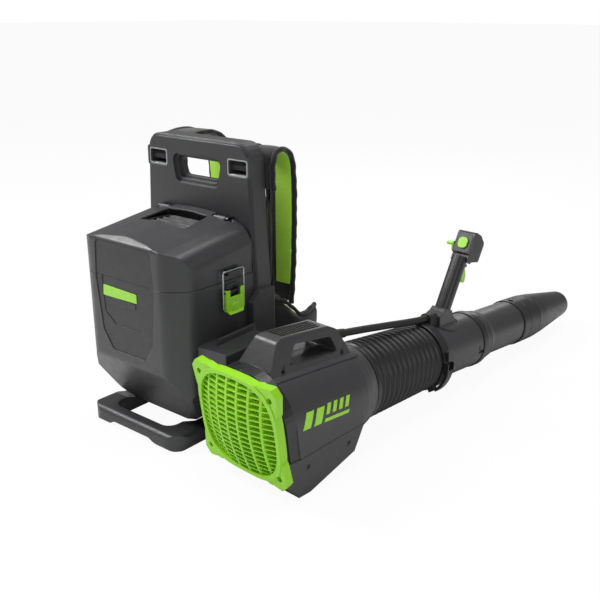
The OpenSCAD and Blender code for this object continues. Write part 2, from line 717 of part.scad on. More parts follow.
// Outline of the barrel's outside, grown by t
function barrel_outline(t) = [[0, -60], [barrel_r + t, -60], [barrel_r + t, barrel_shoulder_y],
    [barrel_r - 1 + t, barrel_shoulder_y + 16], [barrel_r - 4 + t, barrel_shoulder_y + 32],
    [barrel_r - 8 + t, barrel_shoulder_y + 46], [outlet_r + t, barrel_y1 - 2],
    [outlet_r - 2 + t, barrel_y1], [0, barrel_y1]];

// Everything in front of the housing's leaning front edge
module ahead_of_housing(y) {
    rotate([fan_dip + grille_lean, 0, 0]) translate([-300, y - 400, -300]) cube([600, 400, 600]);
}

module above_seam() {
    along_x(3 * barrel_r) polygon([[-60, 300], [-60, seam_front_z - 5], [59, seam_front_z],
        [205, seam_rear_z], [barrel_y1 + 60, seam_rear_z], [barrel_y1 + 60, 300]]);
}

cap_half = 50;
cap_z = 60;
cap_y1 = 240;
cap_t = 2.2;

module fan_housing() color([0.23, 0.23, 0.235]) on_fan() difference() {
    union() {
        turned(barrel_outline(0));
        // straight sides below the axis
        intersection() {
            translate([-barrel_r, 0, -barrel_r * 0.6]) cube([2 * barrel_r, 214, barrel_r * 0.6]);
            above_seam();
        }
        tube_y(barrel_y1 - 4, barrel_y1 + 16, spigot_r, spigot_r - 3);
    }
    // bore, with the shoulder's wall behind it
    turned([[0, -61], [bore_r, -61], [bore_r, barrel_shoulder_y - 1],
        [bore_r - 2, barrel_shoulder_y + 12], [bore_r - 7, barrel_shoulder_y + 28],
        [spigot_r - 3, barrel_y1 - 10], [spigot_r - 3, barrel_y1 + 20], [0, barrel_y1 + 20]]);
    ahead_of_housing(barrel_y0);
    for (s = [-1, 1], y = cap_screw_y) translate([s * cap_screw_x, y, 60]) cylinder(h = 60, r = 1.6);
    // hollow of the straight sides
    intersection() {
        translate([-bore_r, 0, -barrel_r]) cube([2 * bore_r, 205, barrel_r]);
        above_seam();
    }
}

base_toe_y = 57;
base_heel_y = 84;
base_rear_y = 196;
base_rear_z = -79;
chin_y = 34;
chin_z = -92;
toe_z = -119;
sole_t = 3;

// Side view of the base, drawn in by t behind its front wall
module base_form(t, front) {
    toe_y = front + base_toe_y - chin_y;
    // the hollow runs out through the top
    top = t > 0 ? 1 : -seam_gap;
    along_x(2 * (barrel_r - t)) polygon([[front, chin_z], [toe_y, toe_z], [toe_y, -150 + t],
        [base_heel_y, -150 + t], [base_heel_y, -118 + t], [base_rear_y - t, base_rear_z + t],
        [218 - t, seam_rear_z + top], [205, seam_rear_z + top],
        [59, seam_front_z + top], [front - 8, seam_front_z + top]]);
}

screw_boss_r = 7;
base_screws = [[76, -68], [178, -58]];

module fan_base() color([0.21, 0.21, 0.215]) difference() {
    on_fan() base_form(0, chin_y);
    // hollow behind the front wall, above the sole
    difference() {
        on_fan() difference() {
            base_form(barrel_wall, chin_y + 28);
            for (s = [-1, 1], b = base_screws) translate([0, b.x, b.y])
                rod_x(s > 0 ? barrel_r - 24 : -barrel_r, s > 0 ? barrel_r : -barrel_r + 24, screw_boss_r);
        }
        translate([fan_at.x - 200, -300, -40]) cube([400, 500, 40 + sole_t]);
    }
    on_fan() {
        turned([[0, -61], [barrel_r + seat, -61], [barrel_r + seat, 300], [0, 300]]);
        for (s = [-1, 1], b = base_screws) translate([0, b.x, b.y]) {
            rod_x(s > 0 ? barrel_r - 3.5 : -barrel_r - 1, s > 0 ? barrel_r + 1 : -barrel_r + 3.5, 4.6);
            rod_x(s > 0 ? barrel_r - 16 : -barrel_r + 3, s > 0 ? barrel_r - 3 : -barrel_r + 16, 1.6);
        }
    }
    // opening and screw holes of the grille, and everything in front of its seat
    on_grille() {
        translate([-200, bezel_y0 - 200 + 0.05, -300]) cube([400, 200, 600]);
        along_y(0, barrel_y0 + 30) polygon(squircle(mouth_half, mouth_half, 3, 48));
        for (x = [-ear_x, ear_x]) translate([x, 0, -ear_z]) rod_y(0, 26, 2.1);
    }
    // flat foot on the floor
    translate([fan_at.x - 200, -300, -100]) cube([400, 500, 100]);
}

cap_screw_x = 38;
cap_screw_y = [60, 206];

module housing_screws() color([0.1, 0.1, 0.1]) on_fan() {
    for (s = [-1, 1], b = base_screws) translate([s * (barrel_r - 3.4), b.x, b.y])
        rotate([0, s * 90, 0]) screw(4.2, 2.6, 1.5, 10);
    for (s = [-1, 1], y = cap_screw_y) translate([s * cap_screw_x, y, cap_seat_z]) screw(4, 2.2, 1.5, 9);
}

fan_grip_z = 141;
fan_grip_y0 = 64;
fan_grip_y1 = 184;
grip_pad_t = 3;

cap_head_r = 4.4;
cap_seat_z = sqrt(pow(barrel_r, 2) - pow(cap_screw_x - cap_head_r, 2)) + 0.1;

// Side view of the fan's carry handle, and of the opening through it
function fan_handle_outline() = rounded([[26, 66], [32, 90], [56, 136], [70, fan_grip_z],
    [182, fan_grip_z - 3], [202, 130], [226, 88], [230, 66]], [0, 20, 14, 24, 24, 18, 10, 0]);
function fan_handle_hole() = rounded([[74, 92], [80, 102], [96, 126], [184, 120], [196, 92]],
    [3, 8, 9, 9, 5]);

module fan_top_cap() color([0.22, 0.22, 0.225]) on_fan() difference() {
    union() {
        // cover that lies on the barrel
        intersection() {
            tube_y(0, cap_y1, barrel_r + cap_t, barrel_r + 0.15);
            translate([-cap_half, 0, cap_z]) cube([2 * cap_half, 300, 60]);
        }
        // handle with sides that spread down to the cover
        intersection() {
            along_x(3 * cap_half) difference() {
                polygon(fan_handle_outline());
                polygon(fan_handle_hole());
            }
            along_y(0, 300) polygon(rounded([[-cap_half + 6, 74], [cap_half - 6, 74],
                [fan_grip_half + 3, fan_grip_z + 1], [-fan_grip_half - 3, fan_grip_z + 1]], [0, 0, 12, 12]));
        }
    }
    turned(concat([[0, -61]], [for (p = barrel_outline(0.15)) p], [[0, barrel_y1 + 9]]));
    ahead_of_housing(barrel_y0);
    // seat of the grip pad
    translate([-fan_grip_half + 3, fan_grip_y0 + 10, fan_grip_z - grip_pad_t - 1.8])
        rotate([-1.5, 0, 0]) cube([2 * fan_grip_half - 6, fan_grip_y1 - fan_grip_y0 - 20, 20]);
    for (s = [-1, 1], y = cap_screw_y) translate([s * cap_screw_x, y, 60]) {
        cylinder(h = 60, r = 1.6);
        translate([0, 0, cap_seat_z - 60]) cylinder(h = 60, r = cap_head_r);
    }
    // cable gland at the handle's rear foot
    translate([0, 0, cable_z0]) rod_y(200, 246, cable_r + 0.4);
}

// Grip pad with a row of cross ribs
module fan_grip_pad() color([0.06, 0.06, 0.06]) on_fan()
    translate([0, fan_grip_y0 + 10, fan_grip_z - grip_pad_t - 1.8]) rotate([-1.5, 0, 0]) {
        length = fan_grip_y1 - fan_grip_y0 - 20;
        half = fan_grip_half - 3 - seat;
        translate([-half, seat, 0.05]) cube([2 * half, length - 2 * seat, grip_pad_t]);
        for (i = [0:11]) translate([-half + 2, 6 + i * (length - 16) / 11, grip_pad_t])
            cube([2 * half - 4, 3.6, 1.6]);
    }

bezel_y0 = 15;

// Arch outline of the housing's front, drawn in by t
function arch(t) = rounded([[-barrel_r + t, -104 + t], [barrel_r - t, -104 + t],
    [barrel_r - t, barrel_r + 1 - t], [-barrel_r + t, barrel_r + 1 - t]], [12, 12, 84, 84], 12);

// Arch between the grille and the barrel, down to the base's top edge
module front_bezel() color([0.09, 0.09, 0.095]) difference() {
    on_grille() difference() {
        union() {
            along_y(bezel_y0 + 8, barrel_y0 - 0.05) polygon(arch(1));
            along_y(bezel_y0 + 3, bezel_y0 + 8.01) polygon(arch(3));
            along_y(bezel_y0, bezel_y0 + 3.01) polygon(arch(6));
        }
        along_y(0, barrel_y0 + 1) polygon(squircle(mouth_half, mouth_half, 3, 48));
        for (x = [-ear_x, ear_x]) translate([x, 0, ear_z]) rod_y(0, 26, 2.1);
    }
    on_fan() translate([-200, -100, seam_front_z - 300]) cube([400, 400, 300]);
}

grille_bulge = 14;
grille_frame_d = 15;
frame_front = -1.5;
frame_w = 7;
dome_r = (grille_half * grille_half + grille_bulge * grille_bulge) / (2 * grille_bulge);
rib_w = 4.8;
rib_d = 9;
slat_t = 2.2;

module dome(r) {
    translate([0, dome_r - grille_bulge, 0]) sphere(r, $fn = 96);
}

// Outline of one ear, its tip towards +X and +Z
ear_outline = rounded([[40, 88], [62, 94], [ear_x - 15, ear_z + 19], [ear_x + 5, ear_z + 22],
    [ear_x + 16, ear_z + 8], [ear_x + 13, ear_z - 14], [94, 40], [70, 40]], [0, 12, 4, 5, 5, 6, 10, 0]);

module intake_grille() color([0.56, 0.82, 0.1]) on_grille() {
    difference() {
        union() {
            along_y(frame_front, grille_frame_d - 0.05)
                polygon(squircle(grille_half + frame_w, grille_half + frame_w, 3.4, 48));
            for (x = [0, 1], z = [0, 1]) mirror([x, 0, 0]) mirror([0, 0, z])
                along_y(0, grille_frame_d - 0.05) polygon(ear_outline);
        }
        along_y(-20, grille_frame_d + 1) polygon(squircle(grille_half, grille_half, 3, 48));
        for (x = [-ear_x, ear_x], z = [-ear_z, ear_z]) translate([x, 0, z]) {
            rod_y(-5, 30, 2.6);
            rod_y(-10, 10, 5.4);
        }
    }
    // ribs and slats, cut to a domed sheet
    intersection() {
        difference() {
            dome(dome_r);
            dome(dome_r - rib_d);
        }
        union() {
            for (i = [1:rib_count])
                translate([-grille_half + 2 * grille_half * i / (rib_count + 1) - rib_w / 2,
                    -grille_bulge - 1, -grille_half])
                    cube([rib_w, grille_bulge + 16, 2 * grille_half]);
            for (i = [1:slat_count]) translate([-grille_half, -grille_bulge - 1,
                -grille_half + 2 * grille_half * i / (slat_count + 1) - slat_t / 2])
                cube([2 * grille_half, grille_bulge + 16, slat_t]);
        }
        along_y(-grille_bulge - 2, 14) polygon(squircle(grille_half + 1, grille_half + 1, 3, 48));
    }
}

module grille_screws() color([0.08, 0.08, 0.08]) on_grille()
    for (x = [-ear_x, ear_x], z = [-ear_z, ear_z]) translate([x, 9.95, z])
        rotate([90, 0, 0]) screw(5, 2.6, 2, 14);

module inlet_bell() color([0.12, 0.12, 0.12]) on_fan()
    turned([[bore_r - 0.3, 66], [bore_r - 0.3, 92], [bore_r - 2, 92], [bore_r - 4, 80], [bore_r - 9, 68],
        [bore_r - 9, 66]]);

rotor_y0 = 98;
rotor_y1 = 142;
tip_r = bore_r - 1.8;
shaft_r = 4;

module fan_rotor() color([0.14, 0.14, 0.145]) on_fan() difference() {
    union() {
        turned([[0, rotor_y0 - 16], [14, rotor_y0 - 13], [26, rotor_y0 - 5], [hub_r, rotor_y0 + 8],
            [hub_r, rotor_y1], [0, rotor_y1]]);
        intersection() {
            tube_y(rotor_y0, rotor_y1, tip_r, hub_r - 1);
            for (i = [0:blade_count - 1]) rotate([0, 360 * i / blade_count, 0])
                translate([0, (rotor_y0 + rotor_y1) / 2, 0]) rotate([0, 0, 52])
                    translate([-1.3, -45, hub_r - 6]) cube([2.6, 90, tip_r]);
        }
    }
    rod_y(rotor_y0 - 20, rotor_y1 + 1, shaft_r + pin_gap);
}

module rotor_shaft() color([0.6, 0.6, 0.62]) on_fan() rod_y(rotor_y0 - 14, 200, shaft_r);

motor_r = 32;
motor_y0 = 150;
motor_y1 = 216;

module motor() color([0.35, 0.35, 0.37]) on_fan() difference() {
    rod_y(motor_y0, motor_y1, motor_r);
    rod_y(motor_y0 - 1, 204, shaft_r + pin_gap);
    // cooling slots round the can
    for (a = [0:45:315]) rotate([0, a, 0]) translate([motor_r - 1.5, motor_y0 + 16, -3]) cube([4, 40, 6]);
}

module motor_mount() color([0.16, 0.16, 0.165]) on_fan() {
    tube_y(motor_y0, motor_y1 + 0.1, motor_r + 3, motor_r + 0.2);
    turned([[0, motor_y1 + 0.1], [motor_r + 3, motor_y1 + 0.1], [motor_r - 4, motor_y1 + 22],
        [10, motor_y1 + 48], [0, motor_y1 + 50]]);
    tube_y(motor_y0 + 8, motor_y0 + 46, bore_r - 0.3, bore_r - 2.5);
    for (i = [0:6]) rotate([0, 360 * i / 7 + 12, 0])
        translate([-1.2, motor_y0 + 10, motor_r + 2.5]) cube([2.4, 34, bore_r - motor_r - 4]);
}

bracket_x1 = 226;
bracket_top = 205;

// Stepped tray bolted to the box's side, with a saddle for the barrel
module fan_bracket() color([0.21, 0.21, 0.215]) difference() {
    union() {
        translate([box_half, -150, 112]) cube([71, 126, bracket_top - 112]);
        translate([box_half, -136, 112]) cube([bracket_x1 - box_half, 112, bracket_top - 130]);
        // ridge that runs forward along the top
        translate([166, -124, bracket_top - eps]) rotate([0, 0, 3]) cube([6, 98, 12]);
    }
    // hollow under the tray
    translate([box_half + 4, -146, 100]) cube([63, 118, bracket_top - 104]);
    on_fan() turned([[0, -61], [barrel_r + 0.2, -61], [barrel_r + 0.2, 340], [0, 340]]);
    on_fan() translate([-barrel_r - 0.4, -60, -150]) cube([2 * barrel_r, 400, 150]);
}

// ---------------------------------------------------------------- hose

hose_y0 = barrel_y1 + 0.3;
cuff_len = 14;
ribs_y0 = hose_y0 + cuff_len;
ribs_y1 = hose_y1 - cuff_len - 2;
rib_pitch = (ribs_y1 - ribs_y0) / hose_ribs;

// Radius of the ribs' crests at a place along the hose
function crest(y) = hose_r0 + (hose_r1 - hose_r0) * (y - ribs_y0) / (ribs_y1 - ribs_y0);

// Half outline of the ribs, drawn in by t
function ribs(t) = [for (i = [0:hose_ribs - 1]) let (y = ribs_y0 + i * rib_pitch, r = crest(y) - t) each
    [[r - rib_depth, y + 0.08 * rib_pitch], [r, y + 0.3 * rib_pitch],
     [r, y + 0.62 * rib_pitch], [r - rib_depth, y + 0.84 * rib_pitch]]];
function reversed(p) = [for (i = [len(p) - 1:-1:0]) p[i]];

band_t = 2.5;

module hose() color([0.13, 0.13, 0.135]) on_fan() turned(concat(
    [[hose_r0 - 2.5, hose_y0], [hose_r0 - 2.5, ribs_y0 - 1]], ribs(0),
    [[hose_r1 - 2, ribs_y1 + 1], [hose_r1 - 2, hose_y1], [handle_tube_r + seat, hose_y1],
     [handle_tube_r + seat, ribs_y1]], reversed(ribs(hose_wall)),
    [[spigot_r + seat, ribs_y0], [spigot_r + seat, hose_y0]]));

// Band clamp with its screw housing
module hose_band() color([0.07, 0.07, 0.07]) on_fan() {
    tube_y(hose_y0 + 2, ribs_y0 - 2.5, hose_r0 - 2.5 + 0.2 + band_t, hose_r0 - 2.5 + 0.2);
    rotate([0, 150, 0]) translate([hose_r0 + 0.1, hose_y0 + 2, -8]) cube([6, cuff_len - 4.5, 16]);
}

// ---------------------------------------------------------------- cable

cable_r = 7;

cable_z0 = 105;
cable_z1 = 79;

// Route in the fan's frame: out of the handle's foot, over the hose, into the boot on the tube
cable_route = [[0, 206, cable_z0], [0, 214, cable_z0], [0, 224, cable_z0], [0, 256, 103], [0, 290, 100],
    [0, 326, 96.5], [0, 362, 92.5], [0, 400, 88.5], [0, 440, 84], [0, 475, 80.5], [0, 498, cable_z1],
    [0, 514, cable_z1], [0, 528, cable_z1]];

module control_cable() color([0.05, 0.05, 0.05]) on_fan()
    skin(band_rings(smooth(cable_route, 2), [1, 0, 0],
        [for (i = [0:9]) cable_r * [cos(36 * i), sin(36 * i)]]));

// ---------------------------------------------------------------- hose clamp and tubes

clamp_y0 = hose_y1 - 18;
clamp_y1 = hose_y1 + 4;
clamp_r = hose_r1 + 3;
lever_a = -8;
lever_r = clamp_r + 6;
clamp_pin_r = 2;

// Point of the clamp lever's pivot
lever_at = [lever_r * cos(lever_a), (clamp_y0 + clamp_y1) / 2, lever_r * sin(lever_a)];

module hose_clamp() color([0.08, 0.08, 0.08]) on_fan() {
    difference() {
        union() {
            turned([[hose_r1 - 1.8, clamp_y0], [clamp_r - 1, clamp_y0], [clamp_r, clamp_y0 + 1.5],
                [clamp_r, clamp_y1 - 1.5], [clamp_r - 1, clamp_y1], [handle_tube_r + seat, clamp_y1],
                [handle_tube_r + seat, hose_y1 + 0.4], [hose_r1 - 1.8, hose_y1 + 0.4]]);
            // anchor block above the lever and hook block below it
            rotate([0, -6, 0]) translate([clamp_r - 4, clamp_y0 + 1, 3])
                cube([13, clamp_y1 - clamp_y0 - 2, 20]);
            rotate([0, 56, 0]) translate([clamp_r - 3, clamp_y0 + 3, -6])
                cube([9, clamp_y1 - clamp_y0 - 6, 12]);
        }
        translate([lever_at.x, 0, lever_at.z]) rod_y(clamp_y0, clamp_y1, 4.6);
    }
    // pivot pin in two ears
    translate([lever_at.x, 0, lever_at.z]) rod_y(clamp_y0, clamp_y1, clamp_pin_r);
    for (y = [clamp_y0, clamp_y1 - 2.5]) difference() {
        translate([lever_at.x - 12, y, lever_at.z - 4]) cube([16, 2.5, 22]);
        tube_y(0, 800, clamp_r - 2, 0.1);
    }
}

// Curved lever that lies along the ring
module clamp_lever() color([0.1, 0.1, 0.1]) on_fan() difference() {
    union() {
        intersection() {
            tube_y(clamp_y0 + 3, clamp_y1 - 3, lever_r + 3.5, lever_r - 2.5);
            rotate([0, 0, 0]) along_y(0, 900) polygon([[0, 0], 200 * [cos(-10), sin(-10)],
                200 * [cos(-30), sin(-30)], 200 * [cos(-49), sin(-49)]]);
        }
        translate([lever_at.x, 0, lever_at.z]) rod_y(clamp_y0 + 3, clamp_y1 - 3, 4);
    }
    translate([lever_at.x, 0, lever_at.z]) rod_y(clamp_y0, clamp_y1, clamp_pin_r + pin_gap);
}

spigot_len = 15.5;
bayonet_y = handle_tube_y1 - 34;
peg_t = 5;

module at_bayonets() {
    for (a = [8, 128, 248]) rotate([0, a, 0]) translate([handle_tube_r - tube_wall, bayonet_y, 0]) children();
}

module handle_tube() color([0.24, 0.24, 0.245]) on_fan() difference() {
    tube_y(hose_y1 - spigot_len, handle_tube_y1, handle_tube_r, handle_tube_r - tube_wall);
    // bayonet slots for the mid tube's pegs
    at_bayonets() translate([-2, 0, 0]) {
        translate([0, 0, -3]) cube([12, 40, 6]);
        translate([0, 0, -3]) cube([12, 6, 16]);
    }
}

collar_y0 = handle_tube_y1 - 15;
collar_y1 = handle_tube_y1 + 4;

// Ring that covers the joint between the two tubes
module lock_collar() color([0.1, 0.1, 0.105]) on_fan()
    turned([[handle_tube_r + seat, collar_y0], [handle_tube_r + 1.6, collar_y0],
        [handle_tube_r + 2, collar_y0 + 2], [handle_tube_r + 2, collar_y1 - 3],
        [handle_tube_r + 1, collar_y1], [sleeve_r + 0.2, collar_y1], [sleeve_r + 0.2, handle_tube_y1 + 1],
        [handle_tube_r + seat, handle_tube_y1 + 0.4]]);

sleeve_r = handle_tube_r - tube_wall - seat;
sleeve_y0 = bayonet_y - 4;
sleeve_y1 = handle_tube_y1 + 40;

// Sleeve with pegs that turns into the handle tube, and the long straight tube
module mid_tube() color([0.29, 0.29, 0.295]) on_fan() difference() {
    union() {
        turned([[sleeve_r, sleeve_y0], [sleeve_r, handle_tube_y1 + 20], [sleeve_r - 1, handle_tube_y1 + 21],
            [sleeve_r - 1, handle_tube_y1 + 24], [sleeve_r - 0.4, handle_tube_y1 + 25],
            [sleeve_r - 2.4, sleeve_y1 - 2], [mid_tube_r, sleeve_y1 + 1], [mid_tube_r, mid_tube_y1],
            [mid_tube_r - tube_wall, mid_tube_y1], [mid_tube_r - tube_wall, sleeve_y1],
            [sleeve_r - 3 - tube_wall, handle_tube_y1 + 24], [sleeve_r - tube_wall, sleeve_y0]]);
        at_bayonets() translate([-tube_wall, 0.5, 7.5]) cube([2 * tube_wall - 0.2, peg_t, peg_t]);
    }
    translate([0, button_y, 0]) cylinder(h = 100, r = button_r + 0.25);
}

button_r = 6;
button_y = nozzle_y0 + 14;

groove_d = 0.9;
shoulder_y = nozzle_y0 + 112;

module nozzle() color([0.12, 0.12, 0.125]) on_fan() difference() {
    turned([[mid_tube_r + 0.3, nozzle_y0], [mid_tube_r + 2, nozzle_y0], [mid_tube_r + 2.6, nozzle_y0 + 3],
        [mid_tube_r + 2.6, nozzle_y0 + 28], [mid_tube_r + 2.6 - groove_d, nozzle_y0 + 29],
        [mid_tube_r + 2.6 - groove_d, nozzle_y0 + 31], [mid_tube_r + 2.4, nozzle_y0 + 32],
        [mid_tube_r + 2, nozzle_y0 + 70], [mid_tube_r + 2 - groove_d, nozzle_y0 + 71],
        [mid_tube_r + 2 - groove_d, nozzle_y0 + 73], [mid_tube_r + 1.8, nozzle_y0 + 74],
        [mid_tube_r - 1.5, shoulder_y], [nozzle_tip_r + 1, nozzle_y1 - 12],
        [nozzle_tip_r, nozzle_y1 - 4], [nozzle_tip_r - tube_wall / 2, nozzle_y1],
        [nozzle_tip_r - tube_wall, nozzle_y1 - 2], [mid_tube_r - 1.5 - tube_wall, shoulder_y],
        [mid_tube_r - tube_wall, mid_tube_y1 + 4], [mid_tube_r + 0.3, mid_tube_y1 + 0.5]]);
    translate([0, button_y, 0]) cylinder(h = 100, r = button_r + 0.25);
}

module nozzle_button() color([0.1, 0.1, 0.1]) on_fan() translate([0, button_y, 0]) {
    translate([0, 0, mid_tube_r - tube_wall - 1.2]) cylinder(h = tube_wall + 6, r = button_r);
    translate([0, 0, mid_tube_r - tube_wall - 3.2]) cylinder(h = 2 + eps, r = button_r + 2);
}

// ---------------------------------------------------------------- control handle

handle_y = 564.5;
handle_z = handle_tube_r + 2;
grip_y = -3;
grip_z0 = 18;
saddle_y = 571;
saddle_r = 36;
boot_y0 = hose_y1 + 6;
boot_y1 = 540;
boot_half = 13;
boot_top = 87;

// The handle's frame: Z runs up the grip
module on_handle() {
    on_fan() translate([0, handle_y, handle_z]) rotate([-grip_lean, 0, 0]) children();
}

// Saddle on the tube with a pedestal under the grip
module handle_base() color([0.24, 0.24, 0.245]) difference() {
    on_fan() {
        intersection() {
            tube_y(boot_y1 + seat, saddle_y + 69, handle_tube_r + 3, handle_tube_r + 0.2);
            translate([0, saddle_y, 0]) cylinder(h = 100, r = saddle_r);
        }
        difference() {
            intersection() {
                along_x(grip_w + 10) polygon(rounded([[boot_y1 + seat, 40], [boot_y1 + seat, 82],
                    [552, 86], [560, 94], [583, 87], [588, 73], [606, 60], [606, 40]],
                    [0, 4, 10, 2, 3, 14, 0, 0]));
                along_y(boot_y1, 610) polygon(rounded([[-21, 40], [21, 40], [18, 74], [grip_w / 2, 110],
                    [-grip_w / 2, 110], [-18, 74]], [0, 0, 30, 0, 0, 30]));
            }
            rod_y(0, 1000, handle_tube_r + 0.2);
        }
    }
    // socket of the grip
    on_handle() translate([0, grip_y, grip_z0 - 0.05]) linear_extrude(60) polygon(grip_section(-seat));
}

// Rubber boot that holds the cable's end on the tube
module cable_boot() color([0.06, 0.06, 0.06]) on_fan() difference() {
    along_y(boot_y0, boot_y1) polygon(rounded([[-boot_half, 50], [boot_half, 50],
        [boot_half, boot_top], [-boot_half, boot_top]], [0, 0, 9, 9]));
    rod_y(0, 1000, handle_tube_r + 0.2);
    translate([0, 0, cable_z1]) rod_y(0, 530, cable_r + 0.4);
}

// Section of the grip, drawn in by t
function grip_section(t) = squircle(grip_w / 2 - t, grip_d / 2 - t, 2.6, 32);

// Side view of the control head, in the handle's frame, drawn in by t
face_y = -9;
neck_y = -4;
function head_outline(t) = let (z = grip_len) rounded([[neck_y + t, z + 4 + t], [neck_y + t, z + 20],
    [face_y + t, z + 20 + t * 0.4], [face_y + t, z + head_h - t], [18, z + head_h - 1 - t],
    [face_y + head_d - 9 - t * 0.6, z + head_h - 11 - t * 0.6], [face_y + head_d - t, z + 41],
    [face_y + head_d - 3 - t, z + 28], [face_y + head_d - 9 - t * 0.6, z + 16 + t],
    [grip_y + grip_d / 2 + 1, z + 8 + t], [grip_y + grip_d / 2 - t, z + 4 + t]],
    [0, 0, 1.5, 8, 10, 5, 4, 8, 3, 3, 0]);

panel_at = [0, face_y, grip_len + 42];

// Frame on the head's face plate: Z points out of it, Y runs up it
module on_panel() {
    on_handle() translate(panel_at) rotate([90, 0, 0]) children();
}

shell_t = 2.5;

module handle_form(t) {
    translate([0, grip_y, grip_z0 + t]) linear_extrude(grip_len - grip_z0 + 13 - 2 * t)
        polygon(grip_section(t));
    intersection() {
        along_x(head_w - 2 * t) polygon(head_outline(t));
        translate([0, 0, grip_len]) linear_extrude(head_h + 10) polygon(rounded([
            [-head_w / 2 + t, face_y], [head_w / 2 - t, face_y], [head_w / 2 - t, face_y + head_d - t * 0.6],
            [-head_w / 2 + t, face_y + head_d - t * 0.6]], [0, 0, 10, 10]));
    }
}

trigger_at = [0, grip_y + grip_d / 2 - 4, grip_len - 2];
trigger_w = 12;
control_pin_r = 1.5;
cruise_at = [-head_w / 2, 0, grip_len + 28];

module grip_shell(s) on_handle() {
    difference() {
        handle_form(0);
        handle_form(shell_t);
        translate([s > 0 ? -100 : -0.05, -200, -200]) cube([100.05, 400, 600]);
        // slot of the trigger
        translate([-trigger_w / 2 - 0.5, grip_y + 2, grip_len - 42]) cube([trigger_w + 1, 40, 47]);
        // seat of the face plate and hole for the button
        translate(panel_at) rotate([90, 0, 0]) {
            translate([0, 0, -2]) linear_extrude(20) polygon(panel_outline(0));
            translate([-turbo_w / 2 - 0.5, -turbo_h / 2 - 0.5, -20])
                cube([turbo_w + 1, turbo_h + 1, 30]);
        }
        // bore of the cruise lever's pin
        translate(cruise_at) rod_x(-2, shell_t + 3, control_pin_r + pin_gap);
    }
    // pin bosses of the trigger
    translate(trigger_at) rod_x(s > 0 ? trigger_w / 2 + 0.3 : -grip_w / 2 + shell_t / 2,
        s > 0 ? grip_w / 2 - shell_t / 2 : -trigger_w / 2 - 0.3, 3.5);
}

module grip_shell_right() color([0.12, 0.12, 0.125]) grip_shell(1);

module grip_shell_left() color([0.12, 0.12, 0.125]) {
    grip_shell(-1);
    // the trigger's pin
    on_handle() translate(trigger_at) rod_x(-trigger_w / 2 - 0.4, trigger_w / 2 + 0.25, control_pin_r);
}

panel_half = 18;
panel_up = 20;

function panel_outline(t) = rounded([[-panel_half + t, -panel_up + t], [panel_half - t, -panel_up + t],
    [panel_half - t, panel_up - t], [-panel_half + t, panel_up - t]], 5);

turbo_w = 21;
turbo_h = 23;
turbo_out = 4;

function turbo_outline(t) = let (x = turbo_w / 2 + t, y = turbo_h / 2 + t)
    rounded([[-x, -y], [x, -y], [x, y], [-x, y]], 8);

module control_panel() color([0.24, 0.24, 0.245]) on_panel() difference() {
    translate([0, 0, -1.95]) linear_extrude(2.4) polygon(panel_outline(0.25));
    translate([0, 0, -4]) linear_extrude(10) polygon(turbo_outline(0.3));
}

module turbo_button() color([0.56, 0.85, 0.1]) on_panel()
    translate([0, 0, -7]) linear_extrude(7 + turbo_out) polygon(turbo_outline(0));

// Trigger: a blade that hangs in front of the grip
module trigger() color([0.56, 0.85, 0.1]) on_handle() translate(trigger_at) difference() {
    union() {
        rod_x(-trigger_w / 2, trigger_w / 2, 3.6);
        along_x(trigger_w) polygon(rounded([[-3.4, 0], [-2, -9], [5, -20], [20, -34], [29, -31],
            [26, -17], [14, -3], [3.4, 2]], [0, 4, 8, 2, 3, 8, 6, 0]));
    }
    rod_x(-trigger_w, trigger_w, control_pin_r + pin_gap);
}

// Cruise lever on the head's left side, with a round knob
module cruise_lever() color([0.56, 0.85, 0.1]) on_handle() translate(cruise_at) {
    rod_x(-1, shell_t + 2, control_pin_r);
    translate([-2.6, 0, 0]) along_x(4) polygon(rounded([[-4, -6], [4.5, -6], [5, 2], [-4, 15], [-13, 14],
        [-11, 6]], [4, 4, 4, 3, 4, 4]));
    translate([0, -8, 8.5]) {
        rod_x(-14.5, -4.5, 4);
        translate([-14.5, 0, 0]) sphere(4);
    }
}

// ---------------------------------------------------------------- harness

function strap_section() = squircle(strap_w / 2, strap_t / 2, 3.2, 14);

// Side view of the straps' routes: up from the plate, over, and down in front of it
right_route = [[50, strap_slot_z - 43], [50, strap_slot_z + 5], [59, strap_slot_z + 25],
    [80, strap_slot_z + 29], [99, strap_slot_z + 16], [107, strap_slot_z - 9], [110, 440], [110, 370],
    [110, 300], [109, 262], [106, 216]];
left_route = [[50, strap_slot_z - 43], [50, strap_slot_z + 5], [60, strap_slot_z + 28],
    [88, strap_slot_z + 36], [128, strap_slot_z + 35], [160, strap_slot_z + 19], [180, strap_slot_z - 11],
    [186, 430], [184, 350], [174, 290], [150, 246]];

module shoulder_strap(x, route) skin(band_rings(
    [for (p = smooth(route, 3)) [x, p.x, p.y]], [1, 0, 0], strap_section(), 0.84));

module shoulder_strap_right() color([0.07, 0.07, 0.07]) shoulder_strap(strap_x, right_route);
module shoulder_strap_left() color([0.07, 0.07, 0.07]) shoulder_strap(-strap_x, left_route);

webbing_w = 38;
webbing_t = 2.4;

// Webbing from a strap's lower end, by steps from there, to the plate between the two pads
module webbing(x, end, steps) {
    route = concat([for (s = steps) end + s], [[plate_d + seat, webbing_z]]);
    skin(band_rings([for (p = smooth(route, 3)) [x, p.x, p.y]], [1, 0, 0],
        squircle(webbing_w / 2, webbing_t / 2, 6, 8)));
}

module strap_webbing() color([0.05, 0.05, 0.05]) {
    webbing(strap_x, right_route[10], [[-6.7, 2], [-12, 3], [-18, 11], [-30, 24], [-46, 28]]);
    webbing(-strap_x, left_route[10], [[-5, -4], [-12, -6], [-40, -3], [-72, -2]]);
}

back_pad_half = 146;
back_pad_z0 = 252;
back_pad_z1 = plate_h - 94;
lumbar_half = 108;
lumbar_z0 = 138;
lumbar_z1 = 236;

